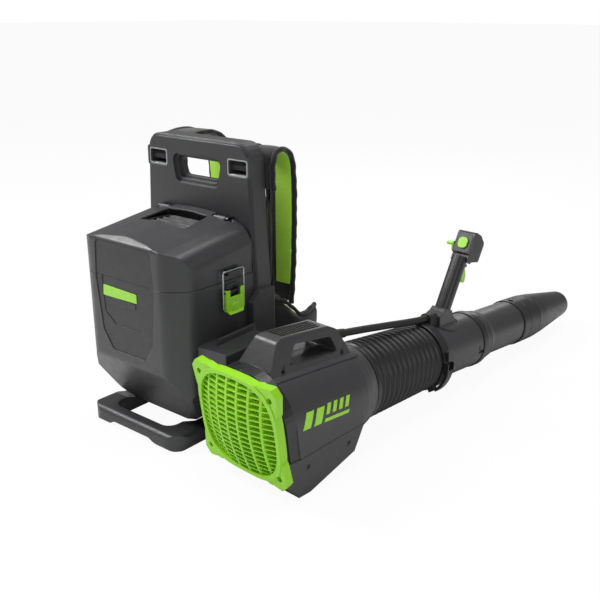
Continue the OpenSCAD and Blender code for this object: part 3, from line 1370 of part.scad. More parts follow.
// Pad with a crowned face and drawn-in sides, split by upright channels
module pad(half, z0, z1, t, channels) {
    steps = 24;
    rows = 8;
    skin([for (i = [0:steps]) let (u = -1 + 2 * i / steps, x = half * u,
            edge = pow(max(1 - pow(abs(u), 4), 0), 0.3),
            groove = min([1, for (c = channels) abs(x - c) / 9]),
            d = 6 + (t - 6) * edge * (0.55 + 0.45 * groove), rise = (z1 - z0) / 2 * (0.93 + 0.07 * edge))
        concat([[x, plate_d + seat, (z0 + z1) / 2 - rise], [x, plate_d + seat, (z0 + z1) / 2 + rise]],
            [for (j = [rows:-1:0]) let (w = -1 + 2 * j / rows)
                [x, plate_d + seat + 1 + (d - 1) * pow(max(1 - pow(abs(w), 5), 0), 0.5),
                 (z0 + z1) / 2 + rise * w * 0.995]])]);
}

module back_pad() color([0.09, 0.09, 0.09])
    pad(back_pad_half, back_pad_z0, back_pad_z1, pad_t + 3, [-52, 52]);
module lumbar_pad() color([0.09, 0.09, 0.09])
    pad(lumbar_half, lumbar_z0, lumbar_z1, pad_t + 8, [-36, 36]);

// Stations along the belt: across, forward, height of its middle line, half height there
belt_route = [[108.4, 50, 188, 46], [117, 51, 188, 48], [129, 57, 188, 48], [140, 69, 187, 47],
    [148, 84, 184, 44],
    [153, 98, 177, 37], [156, 120, 167, 27], [153, 147, 166, 26], [145, 178, 168, 28]];

module hip_belt(s) {
    p = smooth(belt_route, 3);
    path = [for (q = p) [s * q.x, q.y, q.z]];
    skin([for (i = [0:len(p) - 1]) let (n = unit(cross(heading(path, i), [0, 0, s])))
        [for (c = squircle(1, belt_t / 2, 3.2, 14)) path[i] + [0, 0, s * c.x * p[i][3]] + n * c.y]]);
}

module hip_belt_right() color([0.1, 0.1, 0.1]) hip_belt(1);
module hip_belt_left() color([0.1, 0.1, 0.1]) hip_belt(-1);

// ---------------------------------------------------------------- nodes

back_plate();
base_frame();
battery_box();
rear_panel();
lid_seal();
battery_pack();
battery_rails();
controller_board();
lid_hinge();
battery_lid();
lid_vent();
lid_panel();
lid_keepers();
latch_bases();
latch_lever_right();
latch_lever_left();
latch_bail_right();
latch_bail_left();
fan_bracket();
fan_housing();
fan_base();
fan_top_cap();
fan_grip_pad();
front_bezel();
intake_grille();
grille_screws();
inlet_bell();
fan_rotor();
rotor_shaft();
motor();
motor_mount();
housing_screws();
hose_band();
hose();
control_cable();
hose_clamp();
clamp_lever();
handle_tube();
lock_collar();
mid_tube();
nozzle();
nozzle_button();
handle_base();
grip_shell_left();
grip_shell_right();
control_panel();
turbo_button();
trigger();
cruise_lever();
cable_boot();
strap_slot_frames();
strap_anchors();
back_pad();
lumbar_pad();
shoulder_strap_right();
shoulder_strap_left();
strap_webbing();
hip_belt_right();
hip_belt_left();
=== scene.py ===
# %% [markdown]
# # A backpack leaf blower and its finishes
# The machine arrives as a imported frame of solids, each riding on a body that a joint can
# move. This lesson leaves the hard mouldings where they are, gives every one a finish made
# from nodes, and makes the soft goods, the hose, the cable and the small trim as surfaces
# worked out with numpy. Lengths are in metres: +Z is up, +Y is the way the tubes point.

import json

import bpy
import numpy as np
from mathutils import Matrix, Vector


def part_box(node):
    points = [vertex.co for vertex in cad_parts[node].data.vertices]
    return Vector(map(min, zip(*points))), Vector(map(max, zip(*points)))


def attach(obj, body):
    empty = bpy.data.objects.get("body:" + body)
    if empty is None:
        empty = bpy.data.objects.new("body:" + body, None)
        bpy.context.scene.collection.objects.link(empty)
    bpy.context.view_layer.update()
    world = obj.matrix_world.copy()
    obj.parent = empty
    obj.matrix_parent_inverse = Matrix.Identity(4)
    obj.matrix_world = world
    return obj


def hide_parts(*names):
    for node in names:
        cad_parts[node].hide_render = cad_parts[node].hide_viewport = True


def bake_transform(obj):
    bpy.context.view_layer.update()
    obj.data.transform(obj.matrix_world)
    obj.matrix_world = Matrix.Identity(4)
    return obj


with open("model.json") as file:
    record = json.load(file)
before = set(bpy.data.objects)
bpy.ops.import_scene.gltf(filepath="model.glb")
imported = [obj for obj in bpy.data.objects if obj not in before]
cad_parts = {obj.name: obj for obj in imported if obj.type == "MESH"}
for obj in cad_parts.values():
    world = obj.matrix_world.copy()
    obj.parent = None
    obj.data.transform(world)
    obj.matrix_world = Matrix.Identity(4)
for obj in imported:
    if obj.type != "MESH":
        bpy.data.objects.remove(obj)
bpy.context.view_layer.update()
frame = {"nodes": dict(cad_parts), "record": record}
scene = bpy.context.scene

# %% [markdown]
# ## Camera
# A camera is placed by its position and turned by two angles: azimuth round the object and
# elevation above the floor. A lens of about 50 mm on a 36 mm sensor keeps the long tubes
# from looking stretched towards the nozzle.

# %% Camera
CAMERA_AT = (1.14416, -1.08393, 0.76866)
AZIMUTH, ELEVATION = np.radians(39.42), np.radians(19.36)

camera = bpy.data.objects.new("camera", bpy.data.cameras.new("camera"))
scene.collection.objects.link(camera)
camera.data.lens, camera.data.sensor_width = 49.94, 36.0
camera.location = CAMERA_AT
camera.rotation_euler = (np.pi / 2 - ELEVATION, 0, AZIMUTH)
scene.camera = camera
print("camera looks down by", round(float(np.degrees(ELEVATION)), 2), "degrees")

# %% [markdown]
# ## The frame of the fan unit
# The fan unit, with its hose and tubes, is turned outward and tipped down a little. Its
# frame is a rotation matrix and a point, so a row of points p is carried over by one
# matrix product: p R^T + t.

# %% Frame of the fan unit
def turn(axis, degrees):
    """Rotation about X, Y or Z: cosine on the diagonal, sine off it, in the other two."""
    c, s = np.cos(np.radians(degrees)), np.sin(np.radians(degrees))
    m = np.eye(3)
    a, b = [(1, 2), (2, 0), (0, 1)][axis]
    m[a, a], m[a, b], m[b, a], m[b, b] = c, -s, s, c
    return m


FAN_AT = np.array([0.290, -0.204, 0.123])
FAN_YAW, FAN_DIP = -4.35, -3.73
FAN_TURN = turn(2, FAN_YAW) @ turn(0, FAN_DIP)


def on_fan(points):
    """Points of the fan's frame, Y along its axis, carried into the row frame."""
    return np.asarray(points, float) @ FAN_TURN.T + FAN_AT


print("one metre along the tubes:", on_fan([0, 1, 0]).round(4))

# %% [markdown]
# ## One way to make every surface
# Each new piece is a grid of points: rings of a closed section, one after another along
# the piece. One helper turns such a grid into a mesh, closes its two ends, and writes a UV
# map in metres, so that a weave keeps its size wherever the cloth goes.

# %% Grid of rings to mesh
def shell(name, rings):
    """Closed skin over rings[i, j], step i along and j round. Each end is a fan to its centre.

    UV: u is the distance along the ring centres, v the mean distance round the section.
    """
    rings = np.asarray(rings, float)
    n, m = rings.shape[:2]
    points = np.vstack([rings.reshape(-1, 3), rings[0].mean(0), rings[-1].mean(0)])
    i, j = np.meshgrid(np.arange(n - 1), np.arange(m), indexing="ij")
    k = (j + 1) % m
    quads = np.stack([i * m + j, (i + 1) * m + j, (i + 1) * m + k, i * m + k], -1).reshape(-1, 4)
    r = np.arange(m)
    ends = np.vstack([
        np.stack([np.full(m, n * m), r, (r + 1) % m], 1),
        np.stack([np.full(m, n * m + 1), (n - 1) * m + (r + 1) % m, (n - 1) * m + r], 1)])
    a, b, c = (points[quads[:, q]] for q in (0, 1, 2))
    outward = np.einsum("ij,ij->", a - points.mean(0), np.cross(b - a, c - a)) > 0
    if not outward:
        quads, ends = quads[:, ::-1], ends[:, ::-1]
    mesh = bpy.data.meshes.new(name)
    mesh.from_pydata(points.tolist(), [], quads.tolist() + ends.tolist())
    along = np.concatenate([[0], np.cumsum(np.linalg.norm(np.diff(rings.mean(1), axis=0), axis=1))])
    step = np.linalg.norm(np.roll(rings, -1, axis=1) - rings, axis=2).mean(0)
    around = np.concatenate([[0], np.cumsum(step)])
    u = np.stack([along[i], along[i + 1], along[i + 1], along[i]], -1).reshape(-1, 4)
    v = np.stack([around[j], around[j], around[j + 1], around[j + 1]], -1).reshape(-1, 4)
    if not outward:
        u, v = u[:, ::-1], v[:, ::-1]
    end_uv = np.zeros((len(ends) * 3, 2))
    loops = np.vstack([np.stack([u.ravel(), v.ravel()], 1), end_uv]).astype(np.float32)
    mesh.uv_layers.new(name="cloth").data.foreach_set("uv", loops.ravel())
    return mesh


def ring_skin(name, rings, flipped=False):
    """Skin over rings[i, j] that closes both ways: after the last ring comes the first."""
    n, m = rings.shape[:2]
    i, j = np.meshgrid(np.arange(n), np.arange(m), indexing="ij")
    ahead, k = (i + 1) % n, (j + 1) % m
    quads = np.stack([i * m + j, ahead * m + j, ahead * m + k, i * m + k], -1).reshape(-1, 4)
    if flipped:
        quads = quads[:, [0, 3, 2, 1]]
    mesh = bpy.data.meshes.new(name)
    mesh.from_pydata(rings.reshape(-1, 3).tolist(), [], quads.tolist())
    return mesh


def piece(mesh, finish, body, sharp=40.0):
    """Object of a mesh at the origin: smooth, but sharp where faces meet above an angle."""
    mesh.shade_smooth()
    mesh.set_sharp_from_angle(angle=np.radians(sharp))
    made = bpy.data.objects.new(mesh.name, mesh)
    scene.collection.objects.link(made)
    mesh.materials.append(finish)
    if body:
        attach(made, body)
    print(f"{mesh.name}: {len(mesh.polygons)} faces")
    return made


# %% [markdown]
# ## Paths and sections
# A strap or a cable is a section carried along a path. The path is a smooth curve through
# a few points, and at each step the section stands on two directions square to it.

# %% Smooth path, section and band
def smooth_path(points, steps):
    """Catmull-Rom curve: p(t) = (2b + (c-a)t + (2a-5b+4c-d)t^2 + (3b-a-3c+d)t^3) / 2."""
    p = np.asarray(points, float)
    q = np.vstack([p[:1], p, p[-1:]])
    a, b, c, d = (q[k:len(q) - 3 + k, None] for k in range(4))
    t = (np.arange(steps) / steps)[None, :, None]
    run = 0.5 * (2 * b + (c - a) * t + (2 * a - 5 * b + 4 * c - d) * t ** 2
                 + (3 * b - a - 3 * c + d) * t ** 3)
    return np.vstack([run.reshape(-1, p.shape[1]), p[-1:]])


def headings(path):
    """Unit direction of travel at each point, from its two neighbours."""
    d = np.gradient(path, axis=0)
    return d / np.linalg.norm(d, axis=1, keepdims=True)


def rounded_section(half_w, half_t, power, count):
    """Superellipse: |x/a|^n + |y/b|^n = 1, walked by angle."""
    t = 2 * np.pi * np.arange(count) / count
    c, s = np.cos(t), np.sin(t)
    return np.stack([half_w * np.sign(c) * np.abs(c) ** (2 / power),
                     half_t * np.sign(s) * np.abs(s) ** (2 / power)], 1)


def band(path, side, section, shift=0.0):
    """Rings p + side (x + shift) + n y, with n = heading x side.

    shift is one number, or one for each point of the path.
    """
    n = np.cross(headings(path), side)
    x = section[None, :, 0] + np.broadcast_to(shift, len(path))[:, None]
    y = section[None, :, 1] + np.zeros((len(path), 1))
    return path[:, None] + np.asarray(side)[None, None] * x[..., None] + n[:, None] * y[..., None]


print("a heading of a straight path:", headings(np.array([[0, 0, 0], [0, 1, 0], [0, 2, 0.0]]))[1])

# %% [markdown]
# ## Finishes from nodes
# A finish is a small tree of nodes: a base colour that wanders a little, a roughness that
# wanders too, and a bump for the grain. The grain is read from the object's own
# coordinates, so it stays put when a body moves. A Bevel node rounds the light on sharp
# edges, and where its normal leaves the flat one a painted highlight makes the edge a little
# paler.

# %% Node helpers
def paint(red, green, blue):
    """8-bit sRGB to linear: ((c + 0.055) / 1.055) ^ 2.4, or c / 12.92 near black."""
    c = np.array([red, green, blue]) / 255
    return tuple(np.where(c > 0.04045, ((c + 0.055) / 1.055) ** 2.4, c / 12.92).tolist()) + (1.0,)


def new_finish(name, colour, rough, **looks):
    """A material and its shader; looks are values of the shader's own sockets."""
    made = bpy.data.materials.new(name)
    made.use_nodes = True
    made.diffuse_color = colour
    shader = made.node_tree.nodes["Principled BSDF"]
    shader.inputs["Base Color"].default_value = colour
    shader.inputs["Roughness"].default_value = rough
    for socket, value in looks.items():
        shader.inputs[socket.replace("_", " ")].default_value = value
    return made, made.node_tree, shader


def add(tree, kind, inputs=None, **settings):
    """One node with its settings; inputs maps a socket to a value or to another socket."""
    made = tree.nodes.new(kind)
    for key, value in settings.items():
        setattr(made, key, value)
    for key, value in (inputs or {}).items():
        if isinstance(value, bpy.types.NodeSocket):
            tree.links.new(value, made.inputs[key])
        else:
            made.inputs[key].default_value = value
    return made


def between(tree, value, low, high, to_low, to_high):
    """Maps low..high to to_low..to_high, straight and clamped."""
    sockets = {0: value, 1: low, 2: high, 3: to_low, 4: to_high}
    return add(tree, "ShaderNodeMapRange", sockets).outputs[0]


def noise(tree, place, scale, detail):
    """Noise over the place, `scale` waves to the metre, with finer layers added on top."""
    sockets = {"Vector": place, "Scale": scale, "Detail": detail}
    return add(tree, "ShaderNodeTexNoise", sockets).outputs[0]


def stripes(tree, place, pitch, axis, distortion):
    """Sine waves along one axis. A wave node's Scale is pi / 10 over the length of a wave."""
    sockets = {"Vector": place, "Scale": 0.314 / pitch, "Distortion": distortion}
    return add(tree, "ShaderNodeTexWave", sockets, bands_direction=axis).outputs[1]


def place_of(tree, source="Object"):
    """Coordinates of the object itself, or of its UV map."""
    return add(tree, "ShaderNodeTexCoord").outputs[source]


def rough_skin(tree, shader, height, strength, distance, normal=None):
    """A bump from a height, over a softened normal where one is given."""
    sockets = {"Strength": strength, "Distance": distance, "Height": height}
    if normal is not None:
        sockets["Normal"] = normal
    tree.links.new(add(tree, "ShaderNodeBump", sockets).outputs[0], shader.inputs["Normal"])


def blended(tree, share, first, second):
    """Mix of two colours by a share from 0 to 1."""
    made = add(tree, "ShaderNodeMix", {0: share}, data_type="RGBA")
    for key, value in ((6, first), (7, second)):
        if isinstance(value, bpy.types.NodeSocket):
            tree.links.new(value, made.inputs[key])
        else:
            made.inputs[key].default_value = value
    return made.outputs[2]


def scaled(colour, factor):
    """A colour with its light multiplied."""
    return tuple(min(1.0, c * factor) for c in colour[:3]) + (1.0,)


print("charcoal in linear light:", np.round(paint(58, 58, 60)[:3], 4))

# %% [markdown]
# ### Moulded plastic
# The housings are glass-filled plastic from a spark-eroded tool: a fine, even grain about
# half a millimetre across, satin rather than gloss, with broad soft clouds where the melt
# flowed. The lime parts come from a polished tool and keep more gloss.

# %% Moulded plastic
def moulded(name, colour, rough, grain=0.0006, depth=0.00003, painted_edge_highlight=0.12, cloud=0.05,
            edge=0.0012, **looks):
    """Plastic with a grain, clouds of colour and a painted highlight that makes the edges paler."""
    made, tree, shader = new_finish(name, colour, rough, **looks)
    place = place_of(tree)
    clouds, speck, smear = (noise(tree, place, *kind)
                            for kind in ((11.0, 3.0), (1 / grain, 1.0), (70.0, 4.0)))
    base = blended(tree, between(tree, clouds, 0.35, 0.65, 0, 1),
                   scaled(colour, 1 - cloud), scaled(colour, 1 + cloud))
    base = blended(tree, between(tree, speck, 0.3, 0.7, 0, 0.5), base, scaled(colour, 1.12))
    soft = add(tree, "ShaderNodeBevel", {"Radius": edge}, samples=4).outputs[0]
    flat = add(tree, "ShaderNodeNewGeometry").outputs["Normal"]
    facing = add(tree, "ShaderNodeVectorMath", {0: soft, 1: flat}, operation="DOT_PRODUCT")
    # Painted highlight: where the bevel normal leaves the flat one, the colour is mixed towards a paler
    # one, broken up by the smear noise.
    bend = between(tree, facing.outputs["Value"], 0.995, 0.85, 0, painted_edge_highlight)
    edge_highlight_share = add(tree, "ShaderNodeMath", {0: bend, 1: smear}, operation="MULTIPLY").outputs[0]
    tree.links.new(blended(tree, edge_highlight_share, base, scaled(colour, 2.2)), shader.inputs["Base Color"])
    gloss = between(tree, smear, 0.3, 0.7, rough - 0.05, rough + 0.06)
    tree.links.new(gloss, shader.inputs["Roughness"])
    rough_skin(tree, shader, speck, 0.6, depth, soft)
    return made


LIME = paint(146, 212, 28)
FINISH = {
    "shell_charcoal": moulded("charcoal_moulding", paint(54, 54, 56), 0.38, edge=0.0035),
    "tube_grey": moulded("grey_tube", paint(52, 52, 54), 0.34, grain=0.0004, depth=0.00002, edge=0.0008),
    "shell_black": moulded("black_moulding", paint(32, 32, 33), 0.36),
    "panel_dark": moulded("dark_panel", paint(38, 38, 40), 0.44, grain=0.0008, depth=0.00006),
    "lime_gloss": moulded("lime_gloss_plastic", LIME, 0.26, depth=0.00001, painted_edge_highlight=0.1, cloud=0.04,
                          edge=0.0008, Coat_Weight=0.25, Coat_Roughness=0.12),
    "lime_grille": moulded("lime_grille_plastic", paint(142, 208, 26), 0.36, depth=0.00003, painted_edge_highlight=0.1,
                           cloud=0.05, edge=0.0008),
    "battery_case": moulded("battery_case", paint(40, 40, 42), 0.45),
}
print("mouldings:", list(FINISH))

# %% [markdown]
# ### Rubber and metal
# Rubber scatters light widely and catches dust in its grain. Zinc-plated steel and silver
# paint are mirrors blurred by fine scratches, and the motor can is blasted aluminium.

# %% Rubber, metal and circuit board
def rubbery(name, colour, rough=0.62):
    """Matt rubber: a coarse grain and a dusting of paler grey."""
    made, tree, shader = new_finish(name, colour, rough, Specular_IOR_Level=0.4)
    place = place_of(tree)
    grain, dust = noise(tree, place, 1300.0, 2.0), noise(tree, place, 26.0, 5.0)
    tree.links.new(blended(tree, between(tree, dust, 0.45, 0.8, 0, 0.5), colour, scaled(colour, 1.8)),
                   shader.inputs["Base Color"])
    gloss = between(tree, dust, 0.3, 0.8, rough - 0.06, rough + 0.12)
    tree.links.new(gloss, shader.inputs["Roughness"])
    rough_skin(tree, shader, grain, 0.5, 0.00008)
    return made


SCRATCH = (40.0, 40.0, 900.0)


def metallic(name, colour, rough):
    """Metal whose roughness and height follow a noise stretched by SCRATCH."""
    made, tree, shader = new_finish(name, colour, rough, Metallic=1.0)
    drawn = add(tree, "ShaderNodeMapping", {"Vector": place_of(tree), "Scale": SCRATCH}).outputs[0]
    lines = noise(tree, drawn, 2.0, 3.0)
    gloss = between(tree, lines, 0.3, 0.7, rough - 0.08, rough + 0.1)
    tree.links.new(gloss, shader.inputs["Roughness"])
    shade = blended(tree, lines, scaled(colour, 0.88), scaled(colour, 1.08))
    tree.links.new(shade, shader.inputs["Base Color"])
    soft = add(tree, "ShaderNodeBevel", {"Radius": 0.0005}, samples=4).outputs[0]
    rough_skin(tree, shader, lines, 0.3, 0.00002, soft)
    return made


FINISH.update({
    "rubber_black": rubbery("black_rubber", paint(30, 30, 29)),
    "steel": metallic("plated_steel", paint(176, 178, 182), 0.26),
    "slot_frame_silver": metallic("silver_frame", paint(178, 180, 180), 0.32),
    "motor_metal": metallic("motor_can", paint(120, 120, 124), 0.42),
    "circuit_board": moulded("circuit_lacquer", paint(24, 88, 58), 0.25, grain=0.002, painted_edge_highlight=0.0),
})
HOSE_RUBBER = rubbery("hose_rubber", paint(27, 27, 27), 0.40)
DARK_SCREW = metallic("blackened_screw", paint(70, 70, 72), 0.4)
print("rubber and metals ready")

# %% [markdown]
# ### Cloth
# The harness is made of three cloths: a plain black cover woven from coarse yarn, a lime
# spacer mesh with rows of small holes where it touches the wearer, and dense ribbed
# webbing. A weave is two sets of waves crossing, and each point shows the yarn on top, the
# higher of the two. On flat bands and tapes the waves follow the UV map. A blown-up piece
# has been remeshed and has no such map, so there they follow the object.

# %% Cloth finishes
def woven(name, colour, pitch, source="UV", height=0.00022):
    """Plain weave: the height is the larger of two crossed waves, dark between the yarns.

    On the UV map the yarns run along X and Y; on an object they run along X and Z.
    """
    made, tree, shader = new_finish(name, colour, 0.88, Sheen_Weight=0.35, Sheen_Roughness=0.5,
                                    Specular_IOR_Level=0.25)
    place = place_of(tree, source)
    warp = stripes(tree, place, pitch, "X", 0.4)
    weft = stripes(tree, place, pitch, "Z" if source == "Object" else "Y", 0.4)
    top = add(tree, "ShaderNodeMath", {0: warp, 1: weft}, operation="MAXIMUM").outputs[0]
    fluff = noise(tree, place, 42.0, 5.0)
    shade = blended(tree, top, scaled(colour, 0.45), scaled(colour, 1.25))
    shade = blended(tree, between(tree, fluff, 0.35, 0.7, 0, 0.25), shade, scaled(colour, 1.9))
    tree.links.new(shade, shader.inputs["Base Color"])
    rough_skin(tree, shader, top, 0.8, height)
    return made


def spacer_mesh(name, colour, hole, source="UV"):
    """Rows of holes: distance to the nearest point of a regular lattice, dark inside a radius."""
    made, tree, shader = new_finish(name, colour, 0.62, Sheen_Weight=0.15, Sheen_Roughness=0.4,
                                    Specular_IOR_Level=0.3)
    place = place_of(tree, source)
    slant = {"Vector": place, "Rotation": (0, 0, np.radians(33))}
    lattice = {"Vector": add(tree, "ShaderNodeMapping", slant).outputs[0],
               "Scale": 1 / hole, "Randomness": 0.0}
    cells = add(tree, "ShaderNodeTexVoronoi", lattice).outputs[0]
    rise = between(tree, cells, 0.12, 0.36, 0, 1)
    fluff = noise(tree, place, 30.0, 4.0)
    shade = blended(tree, between(tree, rise, 0, 1, 0.35, 1), scaled(colour, 0.28), colour)
    shade = blended(tree, between(tree, fluff, 0.4, 0.7, 0, 0.35), shade, scaled(colour, 0.72))
    tree.links.new(shade, shader.inputs["Base Color"])
    rough_skin(tree, shader, rise, 0.7, 0.0004)
    return made


WEBBING_RIB = 0.0016


def ribbed_webbing(name, colour):
    """Dense webbing: the height is fine waves along its length plus slower ones across it."""
    made, tree, shader = new_finish(name, colour, 0.7, Sheen_Weight=0.25, Sheen_Roughness=0.4)
    place = place_of(tree, "UV")
    ribs = stripes(tree, place, WEBBING_RIB, "X", 0.8)
    yarns = stripes(tree, place, 3 * WEBBING_RIB, "Y", 0.0)
    height = add(tree, "ShaderNodeMath", {0: ribs, 1: yarns}, operation="ADD").outputs[0]
    shade = blended(tree, between(tree, height, 0.2, 1.8, 0, 1), scaled(colour, 0.5), scaled(colour, 1.5))
    tree.links.new(shade, shader.inputs["Base Color"])
    rough_skin(tree, shader, height, 0.7, 0.0002)
    return made


BLACK_CLOTH = woven("black_cloth", paint(34, 34, 33), 0.0016)
BINDING = woven("edge_binding", paint(26, 26, 25), 0.0011, height=0.00015)
PAD_MESH = spacer_mesh("black_air_mesh", paint(38, 39, 38), 0.0042, source="Object")
LIME_MESH = spacer_mesh("lime_air_mesh", paint(186, 246, 78), 0.0034)
WEBBING = ribbed_webbing("black_webbing", paint(27, 27, 26))
COVER_CLOTH = woven("black_cover", paint(34, 34, 33), 0.0019, source="Object")
FINISH["pad_fabric"], FINISH["webbing_black"] = BLACK_CLOTH, WEBBING
print("cloths ready")

# %% [markdown]
# ## Studio
# The camera sees a white sky, while the light it gives is weaker and even. Four square
# lamps shape the machine: a strong one high on the left, a broad one above, a weak one in
# front of the nozzle and a weak one low on the right.

# %% Sky and lamps
world = bpy.data.worlds.new("studio")
scene.world = world
world.use_nodes = True
sky = world.node_tree
background = sky.nodes["Background"]
background.inputs["Strength"].default_value = 0.30
white = add(sky, "ShaderNodeBackground", {"Color": (1, 1, 1, 1), "Strength": 1.0})
ray = add(sky, "ShaderNodeLightPath")
seen = add(sky, "ShaderNodeMath", operation="MAXIMUM",
           inputs={0: ray.outputs["Is Camera Ray"], 1: ray.outputs["Is Transmission Ray"]})
background.inputs["Color"].default_value = (1, 1, 1, 1)
choice = add(sky, "ShaderNodeMixShader",
             {0: seen.outputs[0], 1: background.outputs[0], 2: white.outputs[0]})
sky.links.new(choice.outputs[0], sky.nodes["World Output"].inputs["Surface"])


def soft_lamp(name, at, aim, size, power):
    """Square area lamp: its -Z axis is turned from its place to the point it lights."""
    lamp = bpy.data.lights.new(name, "AREA")
    lamp.shape, lamp.size, lamp.energy = "SQUARE", size, power
    made = bpy.data.objects.new(name, lamp)
    scene.collection.objects.link(made)
    x, y, z = np.subtract(aim, at)
    made.location = at
    made.rotation_euler = (np.arccos(-z / np.sqrt(x * x + y * y + z * z)), 0, np.arctan2(-x, y))


soft_lamp("key_lamp", (-1.9, -1.0, 2.4), (0.0, 0.0, 0.25), 1.0, 75)
soft_lamp("top_lamp", (0.4, 0.5, 2.9), (0.2, 0.2, 0.2), 1.5, 42)
soft_lamp("front_lamp", (-0.9, 2.6, 1.5), (0.2, 0.2, 0.2), 1.4, 15)
soft_lamp("right_lamp", (2.5, -1.9, 1.3), (0.2, 0.1, 0.2), 1.2, 17)

# %% Floor
FLOOR_HALF, FLOOR_DROP, FLOOR_GLOW = 40.0, 0.0006, 0.94
floor_finish, floor_tree, floor_shader = new_finish("pale_floor", (0.86, 0.86, 0.86, 1), 0.9)
glow = add(floor_tree, "ShaderNodeEmission", {"Color": (1, 1, 1, 1), "Strength": 1.0})
floor_ray = add(floor_tree, "ShaderNodeLightPath")
share = add(floor_tree, "ShaderNodeMath", {0: floor_ray.outputs["Is Camera Ray"], 1: FLOOR_GLOW},
            operation="MULTIPLY")
mixed = add(floor_tree, "ShaderNodeMixShader",
            {0: share.outputs[0], 1: floor_shader.outputs[0], 2: glow.outputs[0]})
floor_tree.links.new(mixed.outputs[0], floor_tree.nodes["Material Output"].inputs["Surface"])
floor_mesh = bpy.data.meshes.new("floor")
corners = np.array([[-1, -1, 0], [1, -1, 0], [1, 1, 0], [-1, 1, 0]]) * FLOOR_HALF
floor_mesh.from_pydata(corners.tolist(), [], [(0, 1, 2, 3)])
floor_mesh.materials.append(floor_finish)
floor = bpy.data.objects.new("floor", floor_mesh)
floor.location.z = -FLOOR_DROP
scene.collection.objects.link(floor)
scene.view_settings.view_transform = "Standard"
print("floor laid")

# %% [markdown]
# ## Finishes on the solids
# The record names a material slot for each solid. Each slot gets its finish here, and a
# few solids get one of their own.

# %% Dress the solids
slot_of = {row["node"]: row["material_slot"] for row in frame["record"]["subparts"]}
OWN_FINISH = {
    "grille_screws": DARK_SCREW, "housing_screws": DARK_SCREW, "lid_hinge": DARK_SCREW,
    "lid_vent": moulded("vent_plastic", paint(24, 24, 25), 0.6, depth=0.00002),
    "control_panel": moulded("control_plastic", paint(46, 46, 48), 0.38, depth=0.00001, edge=0.0008),
}
for name, solid in frame["nodes"].items():
    finish = OWN_FINISH.get(name, FINISH[slot_of[name]])
    for place in solid.material_slots:
        place.material = finish
print("dressed", len(slot_of), "solids in", len(set(slot_of.values())), "finishes")

# %% [markdown]
# ## The cable
# The lead to the control handle leaves the foot of the carry handle through a tapered
# sleeve, lies over the hose and ends in a rubber boot on the tube. It is a tube of mesh
# along one smooth path. The hose under it bends at two joints, so the cable is cut in two
# at the middle of the hose.

# %% Cable route and its two halves
CABLE_R = 0.007
CABLE_ROUTE = np.array([[214, 105], [224, 105], [256, 103], [290, 100], [326, 96.5], [362, 92.5],
                        [400, 88.5], [440, 84], [475, 80.5], [498, 79], [514, 79], [528, 79]]) / 1000
BEND_START, MIDDLE, BEND_END = 0.287, 0.3806, 0.492
BEND_GAP = 0.001


def circle(count):
    """Points of the unit circle."""
    t = 2 * np.pi * np.arange(count) / count
    return np.stack([np.cos(t), np.sin(t)], 1)


route = smooth_path(np.column_stack([np.zeros(len(CABLE_ROUTE)), CABLE_ROUTE]), 6)
cut = int(np.argmin(np.abs(route[:, 1] - MIDDLE)))
halves = (on_fan(route[:cut + 1]), on_fan(route[cut:]))
for name, run, bodies, ends in (
        ("cable_rear", halves[0], ("pack", "hose_run"), (BEND_START, MIDDLE - BEND_GAP)),
        ("cable_front", halves[1], ("hose_run", "tube"), (MIDDLE + BEND_GAP, BEND_END))):
    rings = band(run, FAN_TURN[:, 0], CABLE_R * circle(20))
    made = piece(shell(name, rings), FINISH["rubber_black"], None)
    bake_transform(made)
    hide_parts("control_cable")

# %% [markdown]
# The sleeve where the cable leaves the housing is a rubber cone with rings moulded round
# it, thick at the housing and thin at the cable. It is a circle carried along the cable's
# line, whose radius falls from 10.2 to 7.8 mm, with a wave added for the rings.

# %% Strain relief at the housing
SLEEVE_ROUTE = [[0.2195, 0.105], [0.230, 0.1049], [0.242, 0.1042], [0.2545, 0.1031]]
SLEEVE_R, SLEEVE_TAPER, SLEEVE_WAVE, SLEEVE_RINGS = 0.0102, 0.0024, 0.0006, 5
sleeve_run = smooth_path(np.column_stack([np.zeros(len(SLEEVE_ROUTE)), SLEEVE_ROUTE]), 12)
along = np.linspace(0, 1, len(sleeve_run))
sleeve_r = SLEEVE_R - SLEEVE_TAPER * along + SLEEVE_WAVE * np.cos(2 * np.pi * SLEEVE_RINGS * along)
rings = band(on_fan(sleeve_run), FAN_TURN[:, 0], circle(24))
centres = rings.mean(1, keepdims=True)
rings = centres + (rings - centres) * sleeve_r[:, None, None]
piece(shell("cable_sleeve", rings), FINISH["rubber_black"], "pack", sharp=60)

# %% [markdown]
# ## The hose
# A blow-moulded hose: thirteen round ribs, a plain cuff at each end, and a wall of even
# thickness. Its radius along the axis is the crest line less a raised cosine, and the
# skin is that curve turned about the axis, outside first and back along the inside. Like
# the cable it is cut in two, in a valley.

# %% Ribbed hose in two halves
HOSE_Y0, HOSE_Y1, CUFF = 0.2723, 0.508, 0.014
HOSE_R0, HOSE_R1, RIB_DEPTH, RIBS, HOSE_WALL = 0.076, 0.0685, 0.006, 13, 0.002
ribs_y0, ribs_y1 = HOSE_Y0 + CUFF, HOSE_Y1 - CUFF - 0.002
pitch = (ribs_y1 - ribs_y0) / RIBS
split_y = ribs_y0 + 5.96 * pitch
STEPS_A_RIB = 16


def hose_radius(y):
    """Crest line less depth x (1 - w^0.55), w = (1 + cos(2 pi (y - crest) / pitch)) / 2."""
    crest = HOSE_R0 + (HOSE_R1 - HOSE_R0) * (y - ribs_y0) / (ribs_y1 - ribs_y0)
    w = 0.5 + 0.5 * np.cos(2 * np.pi * ((y - ribs_y0) / pitch - 0.46))
    ribbed = crest - RIB_DEPTH * (1 - w ** 0.55)
    cuff = np.where(y < 0.5 * (HOSE_Y0 + HOSE_Y1), HOSE_R0 - 0.0025, HOSE_R1 - 0.002)
    return np.where((y > ribs_y0) & (y < ribs_y1), ribbed, cuff)


